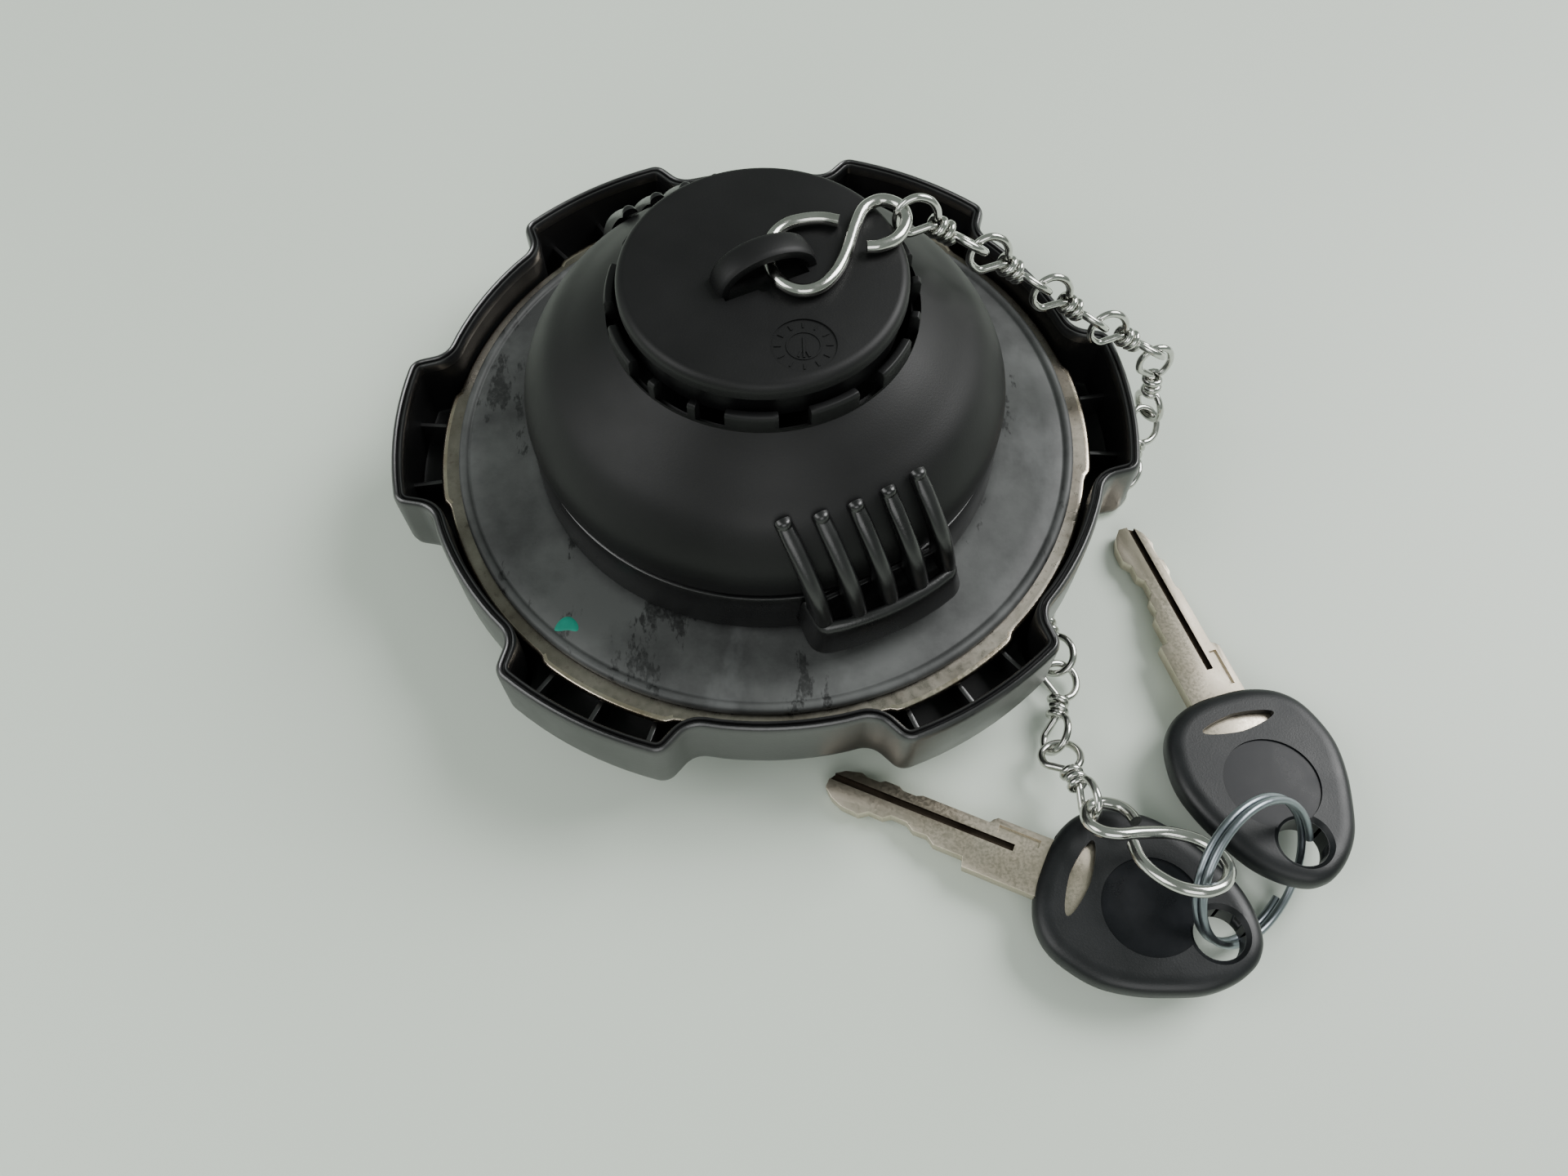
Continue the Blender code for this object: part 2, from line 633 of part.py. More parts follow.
def ribLine(near_side, foot, top, drop=0.0):
    """A line up the cone in the rib's plane, standing off it by foot at the bottom and top above."""
    count = 6
    line = []
    for i in range(count + 1):
        z = RIB_FOOT + (RIB_TOP - RIB_FOOT) * i / count - (drop if i == count else 0.0)
        radius = coneRadius(z) + RIB_CLEAR + foot + (top - foot) * i / count
        line.append((sqrt(radius ** 2 - near_side ** 2), z))
    return line


def lugRib(across, bottom):
    """A rib that stands clear of the cone, upright across its lug, with a rounded outer edge."""
    near_side = max(abs(across) - LUG_RIB_WIDTH / 2, 0.0)
    soft = 0.0005
    shapes = []
    for inset in (0.0, soft):
        outer = ribLine(near_side, RIB_PROUD_FOOT - inset, RIB_PROUD_TOP - inset, inset)
        inner = ribLine(near_side, 0.0, 0.0, inset)[::-1]
        shapes.append([(inner[-1][0], bottom), (outer[0][0], bottom)] + outer + inner)
    rib = plate("rib", shapes[0], -LUG_RIB_WIDTH / 2 + soft, LUG_RIB_WIDTH - 2 * soft)
    join(rib, plate("core", shapes[1], -LUG_RIB_WIDTH / 2, LUG_RIB_WIDTH))
    rib.data.transform(Matrix.Translation((0.0, across, 0.0)) @ Matrix.Rotation(pi / 2, 4, "X"))
    return rib


def coneRadius(height):
    """The cone's outer radius at a height."""
    line = domeProfile(0.0)
    for (r_top, z_top), (r_low, z_low) in zip(line, line[1:]):
        if z_low <= height <= z_top:
            return r_low + (r_top - r_low) * (height - z_low) / (z_top - z_low)
    return DOME_RADIUS


def domeProfile(inset):
    """The cone's outer line from its top ring down to its lip, drawn in by a wall thickness."""
    slope = [
        (RING_RADIUS, 1.0), (0.30 * RING_RADIUS + 0.70 * 0.0285, 0.90), (0.0303, 0.765),
        (0.0340, 0.625), (0.0366, 0.465), (0.0383, 0.315), (DOME_RADIUS, 0.18),
        (DOME_RADIUS, 0.075), (DOME_RADIUS - 0.0006, 0.0),
    ]
    return [(r - inset, DOME_BOTTOM + share * DOME_HEIGHT) for r, share in slope]


def makeDome():
    outer = [(RING_RADIUS, RING_TOP)] + domeProfile(0.0)
    inner = domeProfile(DOME_WALL)[::-1]
    inner[0] = (inner[0][0] + 0.0006, inner[0][1])
    ring_inner = COVER_RADIUS - 0.0004 + FIT_GAP
    inner[-1] = (ring_inner, DOME_TOP - 0.0010)
    dome = turned("insert_dome", outer + inner + [(ring_inner, RING_TOP)], steps=54)
    # Nine merlons, with a wide gap after every third.
    notch = 0.0022
    for index in range(12):
        angle = LUG_ANGLE + 15.0 + 30.0 * index
        after_third = index % 4 in (1, 2)
        width = 0.0056 if after_third else notch
        shift = (7.5 if index % 4 == 1 else -7.5) if after_third else 0.0
        cut(dome, box(
            "notch", (RING_RADIUS - 0.006, -width, RING_TOP - 0.0026),
            (RING_RADIUS + 0.002, width, RING_TOP + 0.001), angle + shift,
        ))
    return finished(dome, (BLACK, 0.55, 0.0))


COVER_SKIRT = DOME_TOP + 0.0002


def makeCover():
    bottom = COVER_TOP - COVER_THICKNESS
    skirt_outer = COVER_RADIUS - 0.0008
    cover = turned("dome_cover", [
        (0.0, COVER_TOP - 0.0003), (COVER_RADIUS - 0.0016, COVER_TOP),
        (COVER_RADIUS - 0.0005, COVER_TOP - 0.0005), (COVER_RADIUS, COVER_TOP - 0.0016),
        (COVER_RADIUS, bottom + 0.0004), (skirt_outer, bottom), (skirt_outer, COVER_SKIRT),
        (skirt_outer - 0.0016, COVER_SKIRT), (skirt_outer - 0.0016, bottom), (0.0, bottom),
    ], steps=48)
    arch = []
    for i in range(13):
        angle = pi * i / 12
        along = EYELET_SPAN / 2 * cos(angle)
        height = COVER_TOP - 0.0006 + EYELET_RISE * sin(angle)
        arch.append((*polar(along, EYELET_ANGLE), height))
    arch = [(arch[0][0], arch[0][1], COVER_TOP - 0.0018)] + arch
    arch += [(arch[-1][0], arch[-1][1], COVER_TOP - 0.0018)]
    join(cover, wire("arch", arch, EYELET_BAR))
    vent = cylinder("vent", 0.0010, 0.0, 0.08, (0.0, -0.0050), 12)
    cut(cover, vent)
    return finished(cover, (BLACK, 0.5, 0.0))


VENT_CUP_TOP = COVER_TOP - COVER_THICKNESS - FIT_GAP
VENT_CUP_BOTTOM = VENT_CUP_TOP - 0.0058
VENT_SEAT = VENT_CUP_BOTTOM + 0.0010


def makeVent():
    """The relief valve under the cover: a cup, a disc on the cup's seat, and its spring."""
    turned("vent_cup", [
        (0.0090, VENT_CUP_TOP), (0.0090, VENT_CUP_BOTTOM), (0.0035, VENT_CUP_BOTTOM),
        (0.0035, VENT_SEAT), (0.0078, VENT_SEAT), (0.0078, VENT_CUP_TOP),
    ], steps=32, finish=(BLACK, 0.5, 0.0))
    disc_bottom = VENT_SEAT + FIT_GAP
    disc_top = disc_bottom + 0.0012
    cylinder("vent_disc", 0.0064, disc_bottom, disc_top, segments=32, finish=(RUBBER, 0.6, 0.0))
    start = disc_top + FIT_GAP + 0.0004
    end = VENT_CUP_TOP - 0.0001 - 0.0004
    turns = 3
    count = turns * 10
    wire("vent_spring", [
        polar(0.0044, 360 * turns * i / count, start + (end - start) * i / count)
        for i in range(count + 1)
    ], 0.0004, (STEEL, 0.3, 1.0), sides=1)


# Hooks, chain and keys.
def placed(points, origin, along, across):
    """Planar points (x, y) put in space, x along one direction and y across it."""
    along = Vector(along).normalized()
    across = Vector(across)
    across = (across - across.dot(along) * along).normalized()
    up = along.cross(across)
    return [
        Vector(origin) + along * p[0] + across * p[1] + up * (p[2] if len(p) > 2 else 0.0)
        for p in points
    ]


def hookPath():
    """An S-hook of one wire, its big loop round the origin and its small loop along +X."""
    big = arc((0.0, 0.0), HOOK_BIG_LOOP, 38, 318, 17)
    small = arc((HOOK_CENTRES, 0.0), HOOK_SMALL_LOOP, 138, -140, 15)
    return big + small


def linkPath():
    """One knotted link along X: a wound end, a loop, a straight run, a loop and a wound end."""
    wound = 2 * CHAIN_WIRE + 0.00018
    turn_pitch = 2 * CHAIN_WIRE + 0.00025
    turns = 1.25
    start = CHAIN_WIRE + 0.0002
    end = CHAIN_PITCH / 2 + CHAIN_WIRE + CHAIN_SLACK / 2
    half = CHAIN_LOOP_HALF_WIDTH
    steps = 8
    near_half = []
    for i in range(steps + 1):
        angle = 2 * pi * turns * (1 - i / steps)
        place = start + turn_pitch * turns * i / steps
        near_half.append((place, wound * cos(angle), wound * sin(angle)))
    coil_end = start + turn_pitch * turns
    near_half += [(coil_end + 0.0009, half * 0.80, 0.0)]
    near_half += [
        (end - half + half * cos(radians(a)), half * sin(radians(a)), 0.0)
        for a in (75, 40, 0, -40, -75)
    ]
    near_half += [(coil_end + 0.0010, -half * 0.42, 0.0), (coil_end + 0.0001, 0.0, 0.0)]
    # The far loop is rolled one way about the link's axis, and the near loop the other.
    c, s = cos(radians(CHAIN_LOOP_ROLL)), sin(radians(CHAIN_LOOP_ROLL))
    far_half = [(x, c * y - s * z, s * y + c * z) for x, y, z in near_half]
    other_half = [(-x, c * y - s * z, -s * y - c * z) for x, y, z in near_half]
    return far_half + other_half[::-1]


# The hook lies on the cover, its big loop through the eyelet.
HOOK_HEIGHT = COVER_TOP + HOOK_WIRE + FIT_GAP
HOOK_TURN = 28.6
CAP_HOOK_CENTRE = (0.0078, 0.0026, HOOK_HEIGHT)

# Way points of the chain, chosen by hand: over the cone and the rim, down, and under the rim.
CHAIN_WAY = [
    (0.0336, 0.0104, 0.0499), (0.0452, 0.0107, 0.0405), (0.0566, 0.0110, 0.0309),
    (0.0676, 0.0117, 0.0232), (0.0708, 0.0096, 0.0088), (0.0650, -0.0030, 0.0034),
    (0.0515, -0.0113, 0.0032), (0.0462, -0.0257, 0.0032), (0.0489, -0.0404, 0.0032),
    (0.0457, -0.0542, 0.0044), (0.0486, -0.0671, 0.0113),
]
FIRST_FLAT_LINK = 6
LAST_FLAT_LINK = 8

KEY_PLACES = (
    ("key_1", Vector((0.0088, -0.0585, 0.0015)), -26.2),
    ("key_2", Vector((0.0645, -0.0124, 0.0015)), -75.4),
)
KEY_HOLE_HEIGHT = 0.0076
KEY_PITCH = asin((KEY_HOLE_HEIGHT - 0.0015) / KEY_LENGTH)
RING_TILT = 53.0
RING_OFFSET = 0.0046
RING_HOOK_ANGLE = 225.0


def chainJoints():
    """Where each link hangs on the last: the links keep their length and follow the way."""
    direction = Vector((*polar(1.0, HOOK_TURN), 0.0))
    loop_end = Vector(CAP_HOOK_CENTRE) + direction * (HOOK_CENTRES + HOOK_SMALL_LOOP)
    joints = [loop_end - direction * (HOOK_WIRE + CHAIN_SLACK / 2)]
    for way in CHAIN_WAY:
        step = (Vector(way) - joints[-1]).normalized() * CHAIN_PITCH
        joints.append(joints[-1] + step)
    return joints


def holeOf(place, turn):
    flat = KEY_LENGTH * cos(KEY_PITCH)
    return place + Vector((*polar(flat, turn), KEY_LENGTH * sin(KEY_PITCH)))


def squareTo(along, thread):
    """The width of a loop whose hole faces a wire that threads it."""
    along = along.normalized()
    return along.cross(thread - thread.dot(along) * along).normalized()


def rolled(vector, axis, angle):
    return Matrix.Rotation(angle, 3, axis) @ vector


def angleAbout(axis, start, end):
    """The turn about an axis from one direction to another, as the loops see it, in radians."""
    turn = atan2(axis.dot(start.cross(end)), start.dot(end))
    return (turn + radians(40)) % pi - radians(40)


def linkFlats(ways, first_thread, last_thread):
    """The middle plane of each link's two loops. On the table the links lie flat."""
    flats = [None] * len(ways)
    for k in range(FIRST_FLAT_LINK, LAST_FLAT_LINK + 1):
        flats[k] = Vector((0.0, 0.0, 1.0)).cross(ways[k]).normalized()
    for k in range(LAST_FLAT_LINK + 1, len(ways)):
        flats[k] = ways[k - 1].rotation_difference(ways[k]) @ flats[k - 1]
    for k in range(FIRST_FLAT_LINK - 1, -1, -1):
        flats[k] = ways[k + 1].rotation_difference(ways[k]) @ flats[k + 1]
    roll = radians(CHAIN_LOOP_ROLL)
    near = rolled(flats[0], ways[0], -roll)
    first = -angleAbout(ways[0], squareTo(ways[0], first_thread), near)
    far = rolled(flats[-1], ways[-1], roll)
    last = angleAbout(ways[-1], far, squareTo(ways[-1], last_thread))
    for k in range(FIRST_FLAT_LINK):
        share = (FIRST_FLAT_LINK - k) / FIRST_FLAT_LINK
        flats[k] = rolled(flats[k], ways[k], first * share)
    for k in range(LAST_FLAT_LINK + 1, len(ways)):
        share = (k - LAST_FLAT_LINK) / (len(ways) - 1 - LAST_FLAT_LINK)
        flats[k] = rolled(flats[k], ways[k], last * share)
    return flats


def makeChain():
    direction = Vector((*polar(1.0, HOOK_TURN), 0.0))
    across = Vector((0.0, 0.0, 1.0)).cross(direction)
    points = placed(hookPath(), CAP_HOOK_CENTRE, direction, across)
    hook = wire("cap_hook", points, HOOK_WIRE, (ZINC, 0.25, 1.0))
    setOrigin(hook, CAP_HOOK_PIVOT)

    joints = chainJoints()
    ring_point = ringPoint(RING_HOOK_ANGLE)
    reach = (ring_point - joints[-1]).normalized()
    ring_way = ringPoint(RING_HOOK_ANGLE + 5) - ringPoint(RING_HOOK_ANGLE - 5)
    sideways = squareTo(reach, ring_way.normalized() + Vector((0.0, 0.0, 1.0)))

    ways = [(end - start).normalized() for start, end in zip(joints, joints[1:])]
    flats = linkFlats(ways, across, sideways)
    near_shape = wire("link_shape", linkPath(), CHAIN_WIRE, sides=1)
    for index, (start, along, flat) in enumerate(zip(joints, ways, flats), 1):
        link = addObject(f"chain_link_{index:02d}", near_shape.data.copy(), (ZINC, 0.25, 1.0))
        frame = Matrix((along, flat, along.cross(flat))).transposed().to_4x4()
        link.data.transform(Matrix.Translation(along * CHAIN_PITCH / 2) @ frame)
        link.location = start
    bpy.data.objects.remove(near_shape, do_unlink=True)

    start = joints[-1]
    small_centre = start + reach * (HOOK_SMALL_LOOP - HOOK_WIRE - CHAIN_SLACK / 2)
    big_centre = small_centre + reach * HOOK_CENTRES
    points = placed(hookPath(), big_centre, -reach, sideways)
    hook = wire("key_hook", points, HOOK_WIRE, (ZINC, 0.25, 1.0))
    setOrigin(hook, start)


CAP_HOOK_PIVOT = (0.0026, 0.0000, HOOK_HEIGHT)


def ringFrame():
    """The split ring's centre and the two directions of its plane."""
    first, second = (holeOf(place, turn) for _, place, turn in KEY_PLACES)
    along = (second - first).normalized()
    west = Vector((0.0, 0.0, 1.0)).cross(along).normalized()
    lean = west * cos(radians(RING_TILT)) + Vector((0, 0, 1)) * sin(radians(RING_TILT))
    middle = (first + second) / 2
    return middle + lean * RING_OFFSET, along, lean


def ringPoint(angle, drift=0.0, radius=SPLIT_RING_RADIUS):
    centre, along, lean = ringFrame()
    normal = along.cross(lean)
    a = radians(angle)
    # At 180 degrees the point is nearest key 1, and at 270 it is at the top.
    return centre + along * radius * cos(a) - lean * radius * sin(a) + normal * drift


def makeRing():
    count = 44
    points = []
    for i in range(count + 1):
        share = i / count
        drift = (share - 0.5) * SPLIT_RING_TURNS * (2 * SPLIT_RING_WIRE + 0.00015)
        points.append(ringPoint(70.0 + 360.0 * SPLIT_RING_TURNS * share, drift))
    ring = wire("split_ring", points, SPLIT_RING_WIRE, (ZINC, 0.25, 1.0))
    setOrigin(ring, ringPoint(RING_HOOK_ANGLE))


def headOutline(inset=0.0):
    """The key head: a wide round end at the blade and a narrow one at the ring hole."""
    wide = KEY_HEAD_WIDE - inset
    narrow = KEY_HEAD_NARROW - inset
    wide_at = KEY_HEAD_START + KEY_HEAD_WIDE
    narrow_at = KEY_HEAD_START + KEY_HEAD_LENGTH - KEY_HEAD_NARROW
    tilt = asin((wide - narrow) / (narrow_at - wide_at)) * 180 / pi
    far = arc((narrow_at, 0.0), narrow, -90 + tilt, 90 - tilt, 12)
    near = arc((wide_at, 0.0), wide, 90 - tilt, 270 + tilt, 18)
    return far + near


def bladeOutline():
    """The blade: a pointed tip, cuts in one edge, and a shoulder before the head."""
    half = KEY_BLADE_WIDTH / 2
    shoulder = KEY_SHOULDER_WIDTH / 2
    shoulder_at = KEY_HEAD_START - 0.0105
    inside = KEY_HEAD_START + 0.0100
    cuts = (0.0008, 0.0016, 0.0010, 0.0020)
    lower = [(0.0, -0.0012), (0.0020, -half * 0.8), (0.0050, -half)]
    for index, depth in enumerate(cuts):
        x = 0.0075 + index * 0.0034
        lower += [(x, -half + depth), (x + 0.0018, -half + depth), (x + 0.0026, -half)]
    lower += [(shoulder_at, -half), (shoulder_at + 0.0012, -shoulder), (inside, -shoulder)]
    upper = [(inside, shoulder * 0.9), (shoulder_at + 0.0022, shoulder * 0.9),
             (shoulder_at, half), (0.0050, half), (0.0018, half * 0.75), (0.0, 0.0008)]
    return lower + upper


def makeKey(name, place, turn):
    """One key: a blade moulded into an oval head. Built along +X, then laid on the table."""
    pose = Matrix.Translation(place) @ Euler((0.0, -KEY_PITCH, radians(turn))).to_matrix().to_4x4()
    blade_half = KEY_BLADE_THICKNESS / 2
    blade = plate(f"{name}_blade", bladeOutline(), -blade_half, KEY_BLADE_THICKNESS)
    groove = box("groove", (-0.005, -0.0004, blade_half - 0.0007),
                 (KEY_HEAD_START - 0.004, 0.0010, 0.004))
    cut(blade, groove)

    half = KEY_HEAD_THICKNESS / 2
    head = plate(f"{name}_head", headOutline(0.0011), -half, KEY_HEAD_THICKNESS)
    join(head, plate("middle", headOutline(), -half + 0.0011, KEY_HEAD_THICKNESS - 0.0022))
    pocket = plate("pocket", [
        (KEY_HEAD_START - 0.001, -KEY_SHOULDER_WIDTH / 2 - FIT_GAP),
        (KEY_HEAD_START + 0.0100 + FIT_GAP, -KEY_SHOULDER_WIDTH / 2 - FIT_GAP),
        (KEY_HEAD_START + 0.0100 + FIT_GAP, KEY_SHOULDER_WIDTH / 2),
        (KEY_HEAD_START - 0.001, KEY_SHOULDER_WIDTH / 2),
    ], -blade_half - FIT_GAP, KEY_BLADE_THICKNESS + 2 * FIT_GAP)
    cut(head, pocket)
    window = arc((0.0, 0.0), 1.0, 0, 337.5, 16)
    window = [(KEY_HEAD_START + 0.0060 + 0.0016 * x, 0.0062 * y) for x, y in window]
    cut(head, plate("window", window, 0.0, 0.01))
    recess_at = KEY_HEAD_START + 0.0170
    cut(head, cylinder("recess", 0.0076, half - 0.0004, 0.01, (recess_at, 0.0), 28))
    cut(head, cylinder("ring_hole", KEY_HOLE, -0.01, 0.01, (KEY_LENGTH, 0.0), 20))

    for part, finish in ((blade, (NICKEL, 0.3, 1.0)), (head, (BLACK, 0.5, 0.0))):
        part.data.transform(pose)
        made = finished(part, finish)
        setOrigin(made, holeOf(place, turn))


makeGripCap()
makeEscutcheon()
makeFlap()
makeLock()
makeSpindle()
makeSeal()
makeLugCarrier()
makeDome()
makeCover()
makeVent()
makeChain()
makeRing()
for keyName, keyPlace, keyTurn in KEY_PLACES:
    makeKey(keyName, keyPlace, keyTurn)
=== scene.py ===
import json
import math
import bmesh
import bpy
from mathutils import Euler, Matrix, Vector


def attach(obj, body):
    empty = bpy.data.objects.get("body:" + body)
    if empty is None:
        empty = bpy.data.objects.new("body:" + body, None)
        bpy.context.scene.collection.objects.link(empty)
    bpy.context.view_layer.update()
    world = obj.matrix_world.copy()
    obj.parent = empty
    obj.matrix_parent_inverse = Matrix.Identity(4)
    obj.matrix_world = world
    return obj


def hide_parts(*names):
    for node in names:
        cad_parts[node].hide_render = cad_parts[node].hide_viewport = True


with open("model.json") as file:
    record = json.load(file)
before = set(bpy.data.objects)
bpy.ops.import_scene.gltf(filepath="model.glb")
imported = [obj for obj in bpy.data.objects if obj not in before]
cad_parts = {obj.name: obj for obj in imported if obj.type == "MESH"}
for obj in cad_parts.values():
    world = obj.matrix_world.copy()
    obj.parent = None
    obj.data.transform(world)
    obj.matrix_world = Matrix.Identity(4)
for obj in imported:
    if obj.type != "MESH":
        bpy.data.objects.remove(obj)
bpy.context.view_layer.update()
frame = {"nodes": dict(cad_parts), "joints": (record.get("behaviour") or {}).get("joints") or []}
scene = bpy.context.scene
print("frame loaded:", len(frame["nodes"]), "nodes")

# All sizes below are in millimetres, and meshes are scaled to metres as they are made.
toMetres = 0.001


# ---- small tools ----

def hexColour(text):
    parts = [int(text[i:i + 2], 16) / 255 for i in (1, 3, 5)]
    linear = [c / 12.92 if c <= 0.04045 else ((c + 0.055) / 1.055) ** 2.4 for c in parts]
    return (*linear, 1.0)


def addNode(tree, kind, inputs=None, **settings):
    # A constant goes on the socket itself, and a socket given as a value is linked.
    node = tree.nodes.new(kind)
    for key, value in settings.items():
        setattr(node, key, value)
    for key, value in (inputs or {}).items():
        if isinstance(value, bpy.types.NodeSocket):
            tree.links.new(value, node.inputs[key])
        else:
            node.inputs[key].default_value = value
    return node


def perMm(size):
    # Texture scale, in repeats to the metre, for a feature of a size in millimetres.
    return 1000.0 / size


def polar(radius, degrees):
    a = math.radians(degrees)
    return radius * math.cos(a), radius * math.sin(a)


def smoothPath(points, steps, closed=False):
    # A Catmull-Rom curve through the points.
    pts = [Vector(p) for p in points]
    count = len(pts)
    spans = count if closed else count - 1
    out = []
    for i in range(spans):
        if closed:
            p0, p1, p2, p3 = (pts[(i + k) % count] for k in (-1, 0, 1, 2))
        else:
            p1, p2 = pts[i], pts[i + 1]
            p0 = pts[i - 1] if i else p1 * 2 - p2
            p3 = pts[i + 2] if i + 2 < count else p2 * 2 - p1
        for s in range(steps):
            t = s / steps
            out.append(0.5 * (
                2 * p1 + (p2 - p0) * t + (2 * p0 - 5 * p1 + 4 * p2 - p3) * t * t
                + (3 * p1 - p0 - 3 * p2 + p3) * t ** 3
            ))
    if not closed:
        out.append(pts[-1])
    return out


def turnShape(profile, steps=144):
    # A closed profile of (radius, height) turned about the axis. Points on the axis make a pole.
    verts, rings = [], []
    for radius, height in profile:
        if radius < 1e-6:
            rings.append([len(verts)] * steps)
            verts.append((0.0, 0.0, height))
        else:
            rings.append([len(verts) + i for i in range(steps)])
            verts += [(*polar(radius, 360 * i / steps), height) for i in range(steps)]
    faces = []
    last = len(profile) if profile[0][0] > 1e-6 else len(profile) - 1
    for row in range(last):
        a, b = rings[row], rings[(row + 1) % len(profile)]
        for i in range(steps):
            j = (i + 1) % steps
            corners = [a[i], a[j], b[j], b[i]]
            corners = [c for k, c in enumerate(corners) if c not in corners[:k]]
            if len(corners) > 2:
                faces.append(corners)
    return verts, faces


def loftShape(rings, closed=True, caps=False):
    # Rings of equal count joined in order, and back to the first ring when closed.
    count = len(rings[0])
    verts = [tuple(p) for ring in rings for p in ring]
    faces = []
    rows = len(rings) if closed else len(rings) - 1
    for row in range(rows):
        a, b = row * count, ((row + 1) % len(rings)) * count
        faces += [[a + i, a + (i + 1) % count, b + (i + 1) % count, b + i] for i in range(count)]
    if caps:
        faces.append(list(range(count))[::-1])
        faces.append([len(verts) - count + i for i in range(count)])
    return verts, faces


def filletLoop(corners, arcSteps=7):
    # Corners are (x, y, radius). Returns a closed loop with each corner rounded.
    out = []
    count = len(corners)
    for k, (x, y, radius) in enumerate(corners):
        here = Vector((x, y))
        if radius <= 0:
            out.append(here)
            continue
        back = (Vector(corners[k - 1][:2]) - here).normalized()
        ahead = (Vector(corners[(k + 1) % count][:2]) - here).normalized()
        angle = back.angle(ahead)
        centre = here + (back + ahead).normalized() * radius / math.sin(angle / 2)
        start = here + back * radius / math.tan(angle / 2) - centre
        end = here + ahead * radius / math.tan(angle / 2) - centre
        turn = start.angle_signed(end)
        for s in range(arcSteps):
            out.append(centre + Matrix.Rotation(-turn * s / (arcSteps - 1), 2) @ start)
    return out


def outwardNormals(loop):
    normals = []
    for k, here in enumerate(loop):
        a = (here - loop[k - 1]).normalized()
        b = (loop[(k + 1) % len(loop)] - here).normalized()
        mean = (a + b).normalized()
        normals.append(Vector((mean.y, -mean.x)))
    return normals


def sweepShape(loop, section):
    # Section rows are ("in", inset, height), which follow the loop, or ("at", radius, height).
    normals = outwardNormals(loop)
    rings = []
    for kind, distance, height in section:
        ring = []
        for here, normal in zip(loop, normals):
            flat = here - normal * distance if kind == "in" else here.normalized() * distance
            ring.append((flat.x, flat.y, height))
        rings.append(ring)
    return loftShape(rings)


def boxShape(low, high):
    verts = [(x, y, z) for x in (low[0], high[0]) for y in (low[1], high[1]) for z in (low[2], high[2])]
    faces = [(0, 1, 3, 2), (4, 6, 7, 5), (0, 4, 5, 1), (2, 3, 7, 6), (0, 2, 6, 4), (1, 5, 7, 3)]
    return verts, faces


def moved(shape, matrix):
    return [tuple(matrix @ Vector(v)) for v in shape[0]], shape[1]


def turned(shape, degrees):
    return moved(shape, Matrix.Rotation(math.radians(degrees), 4, "Z"))


def pinShape(radius, low, high, at, steps):
    # A closed cylinder standing at (x, y).
    shape = turnShape([(0, low), (radius, low), (radius, high), (0, high)], steps)
    return moved(shape, Matrix.Translation((*at, 0)))


def meshObject(name, shapes, material, sharp=32, bevel=0.0, bevelSteps=2):
    # One object from closed shells given in millimetres, with its faces pointing outwards.
    work = bmesh.new()
    for verts, faces in shapes:
        made = [work.verts.new(Vector(v) * toMetres) for v in verts]
        for face in faces:
            work.faces.new([made[i] for i in face])
    bmesh.ops.remove_doubles(work, verts=work.verts, dist=1e-7)
    if bevel:
        edges = [e for e in work.edges if len(e.link_faces) == 2 and e.calc_face_angle(0) > 0.6]
        bmesh.ops.bevel(
            work, geom=edges, offset=bevel * toMetres, segments=bevelSteps,
            profile=0.5, affect="EDGES", clamp_overlap=True,
        )
    bmesh.ops.recalc_face_normals(work, faces=work.faces)
    mesh = bpy.data.meshes.new(name)
    work.to_mesh(mesh)
    work.free()
    mesh.materials.append(material)
    mesh.shade_smooth()
    mesh.set_sharp_from_angle(angle=math.radians(sharp))
    obj = bpy.data.objects.new(name, mesh)
    scene.collection.objects.link(obj)
    return obj


def joined(name, objects):
    # One object from several that share a body.
    work = bmesh.new()
    materials = []
    for obj in objects:
        for slot in obj.data.materials:
            if slot not in materials:
                materials.append(slot)
        before = len(work.faces)
        work.from_mesh(obj.data)
        work.faces.ensure_lookup_table()
        for face in work.faces[before:]:
            face.material_index = materials.index(obj.data.materials[face.material_index])
    mesh = bpy.data.meshes.new(name)
    work.to_mesh(mesh)
    work.free()
    for material in materials:
        mesh.materials.append(material)
    for obj in objects:
        bpy.data.objects.remove(obj, do_unlink=True)
    obj = bpy.data.objects.new(name, mesh)
    scene.collection.objects.link(obj)
    return obj


def cutAway(obj, tool):
    step = obj.modifiers.new("cut", "BOOLEAN")
    step.operation, step.object, step.solver = "DIFFERENCE", tool, "EXACT"
    bpy.context.view_layer.update()
    graph = bpy.context.evaluated_depsgraph_get()
    mesh = bpy.data.meshes.new_from_object(obj.evaluated_get(graph))
    obj.modifiers.clear()
    obj.data = mesh
    bpy.data.objects.remove(tool, do_unlink=True)


def place(obj, body, slotName, *nodes):
    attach(obj, body)
    if nodes:
        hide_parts(*nodes)
    return obj


# ---- Geometry Nodes: a round wire along a path, and copies round the axis ----

def newTree(name, *sockets):
    tree = bpy.data.node_groups.new(name, "GeometryNodeTree")
    tree.interface.new_socket("Geometry", in_out="INPUT", socket_type="NodeSocketGeometry")
    for label, kind in sockets:
        tree.interface.new_socket(label, in_out="INPUT", socket_type=kind)
    tree.interface.new_socket("Geometry", in_out="OUTPUT", socket_type="NodeSocketGeometry")
    return tree, tree.nodes.new("NodeGroupInput"), tree.nodes.new("NodeGroupOutput")


def finished(tree, geometry, given, out):
    whole = addNode(tree, "GeometryNodeRealizeInstances", {"Geometry": geometry})
    done = addNode(tree, "GeometryNodeSetMaterial", {
        "Geometry": whole.outputs["Geometry"], "Material": given.outputs["Material"]})
    tree.links.new(done.outputs["Geometry"], out.inputs["Geometry"])
    return tree


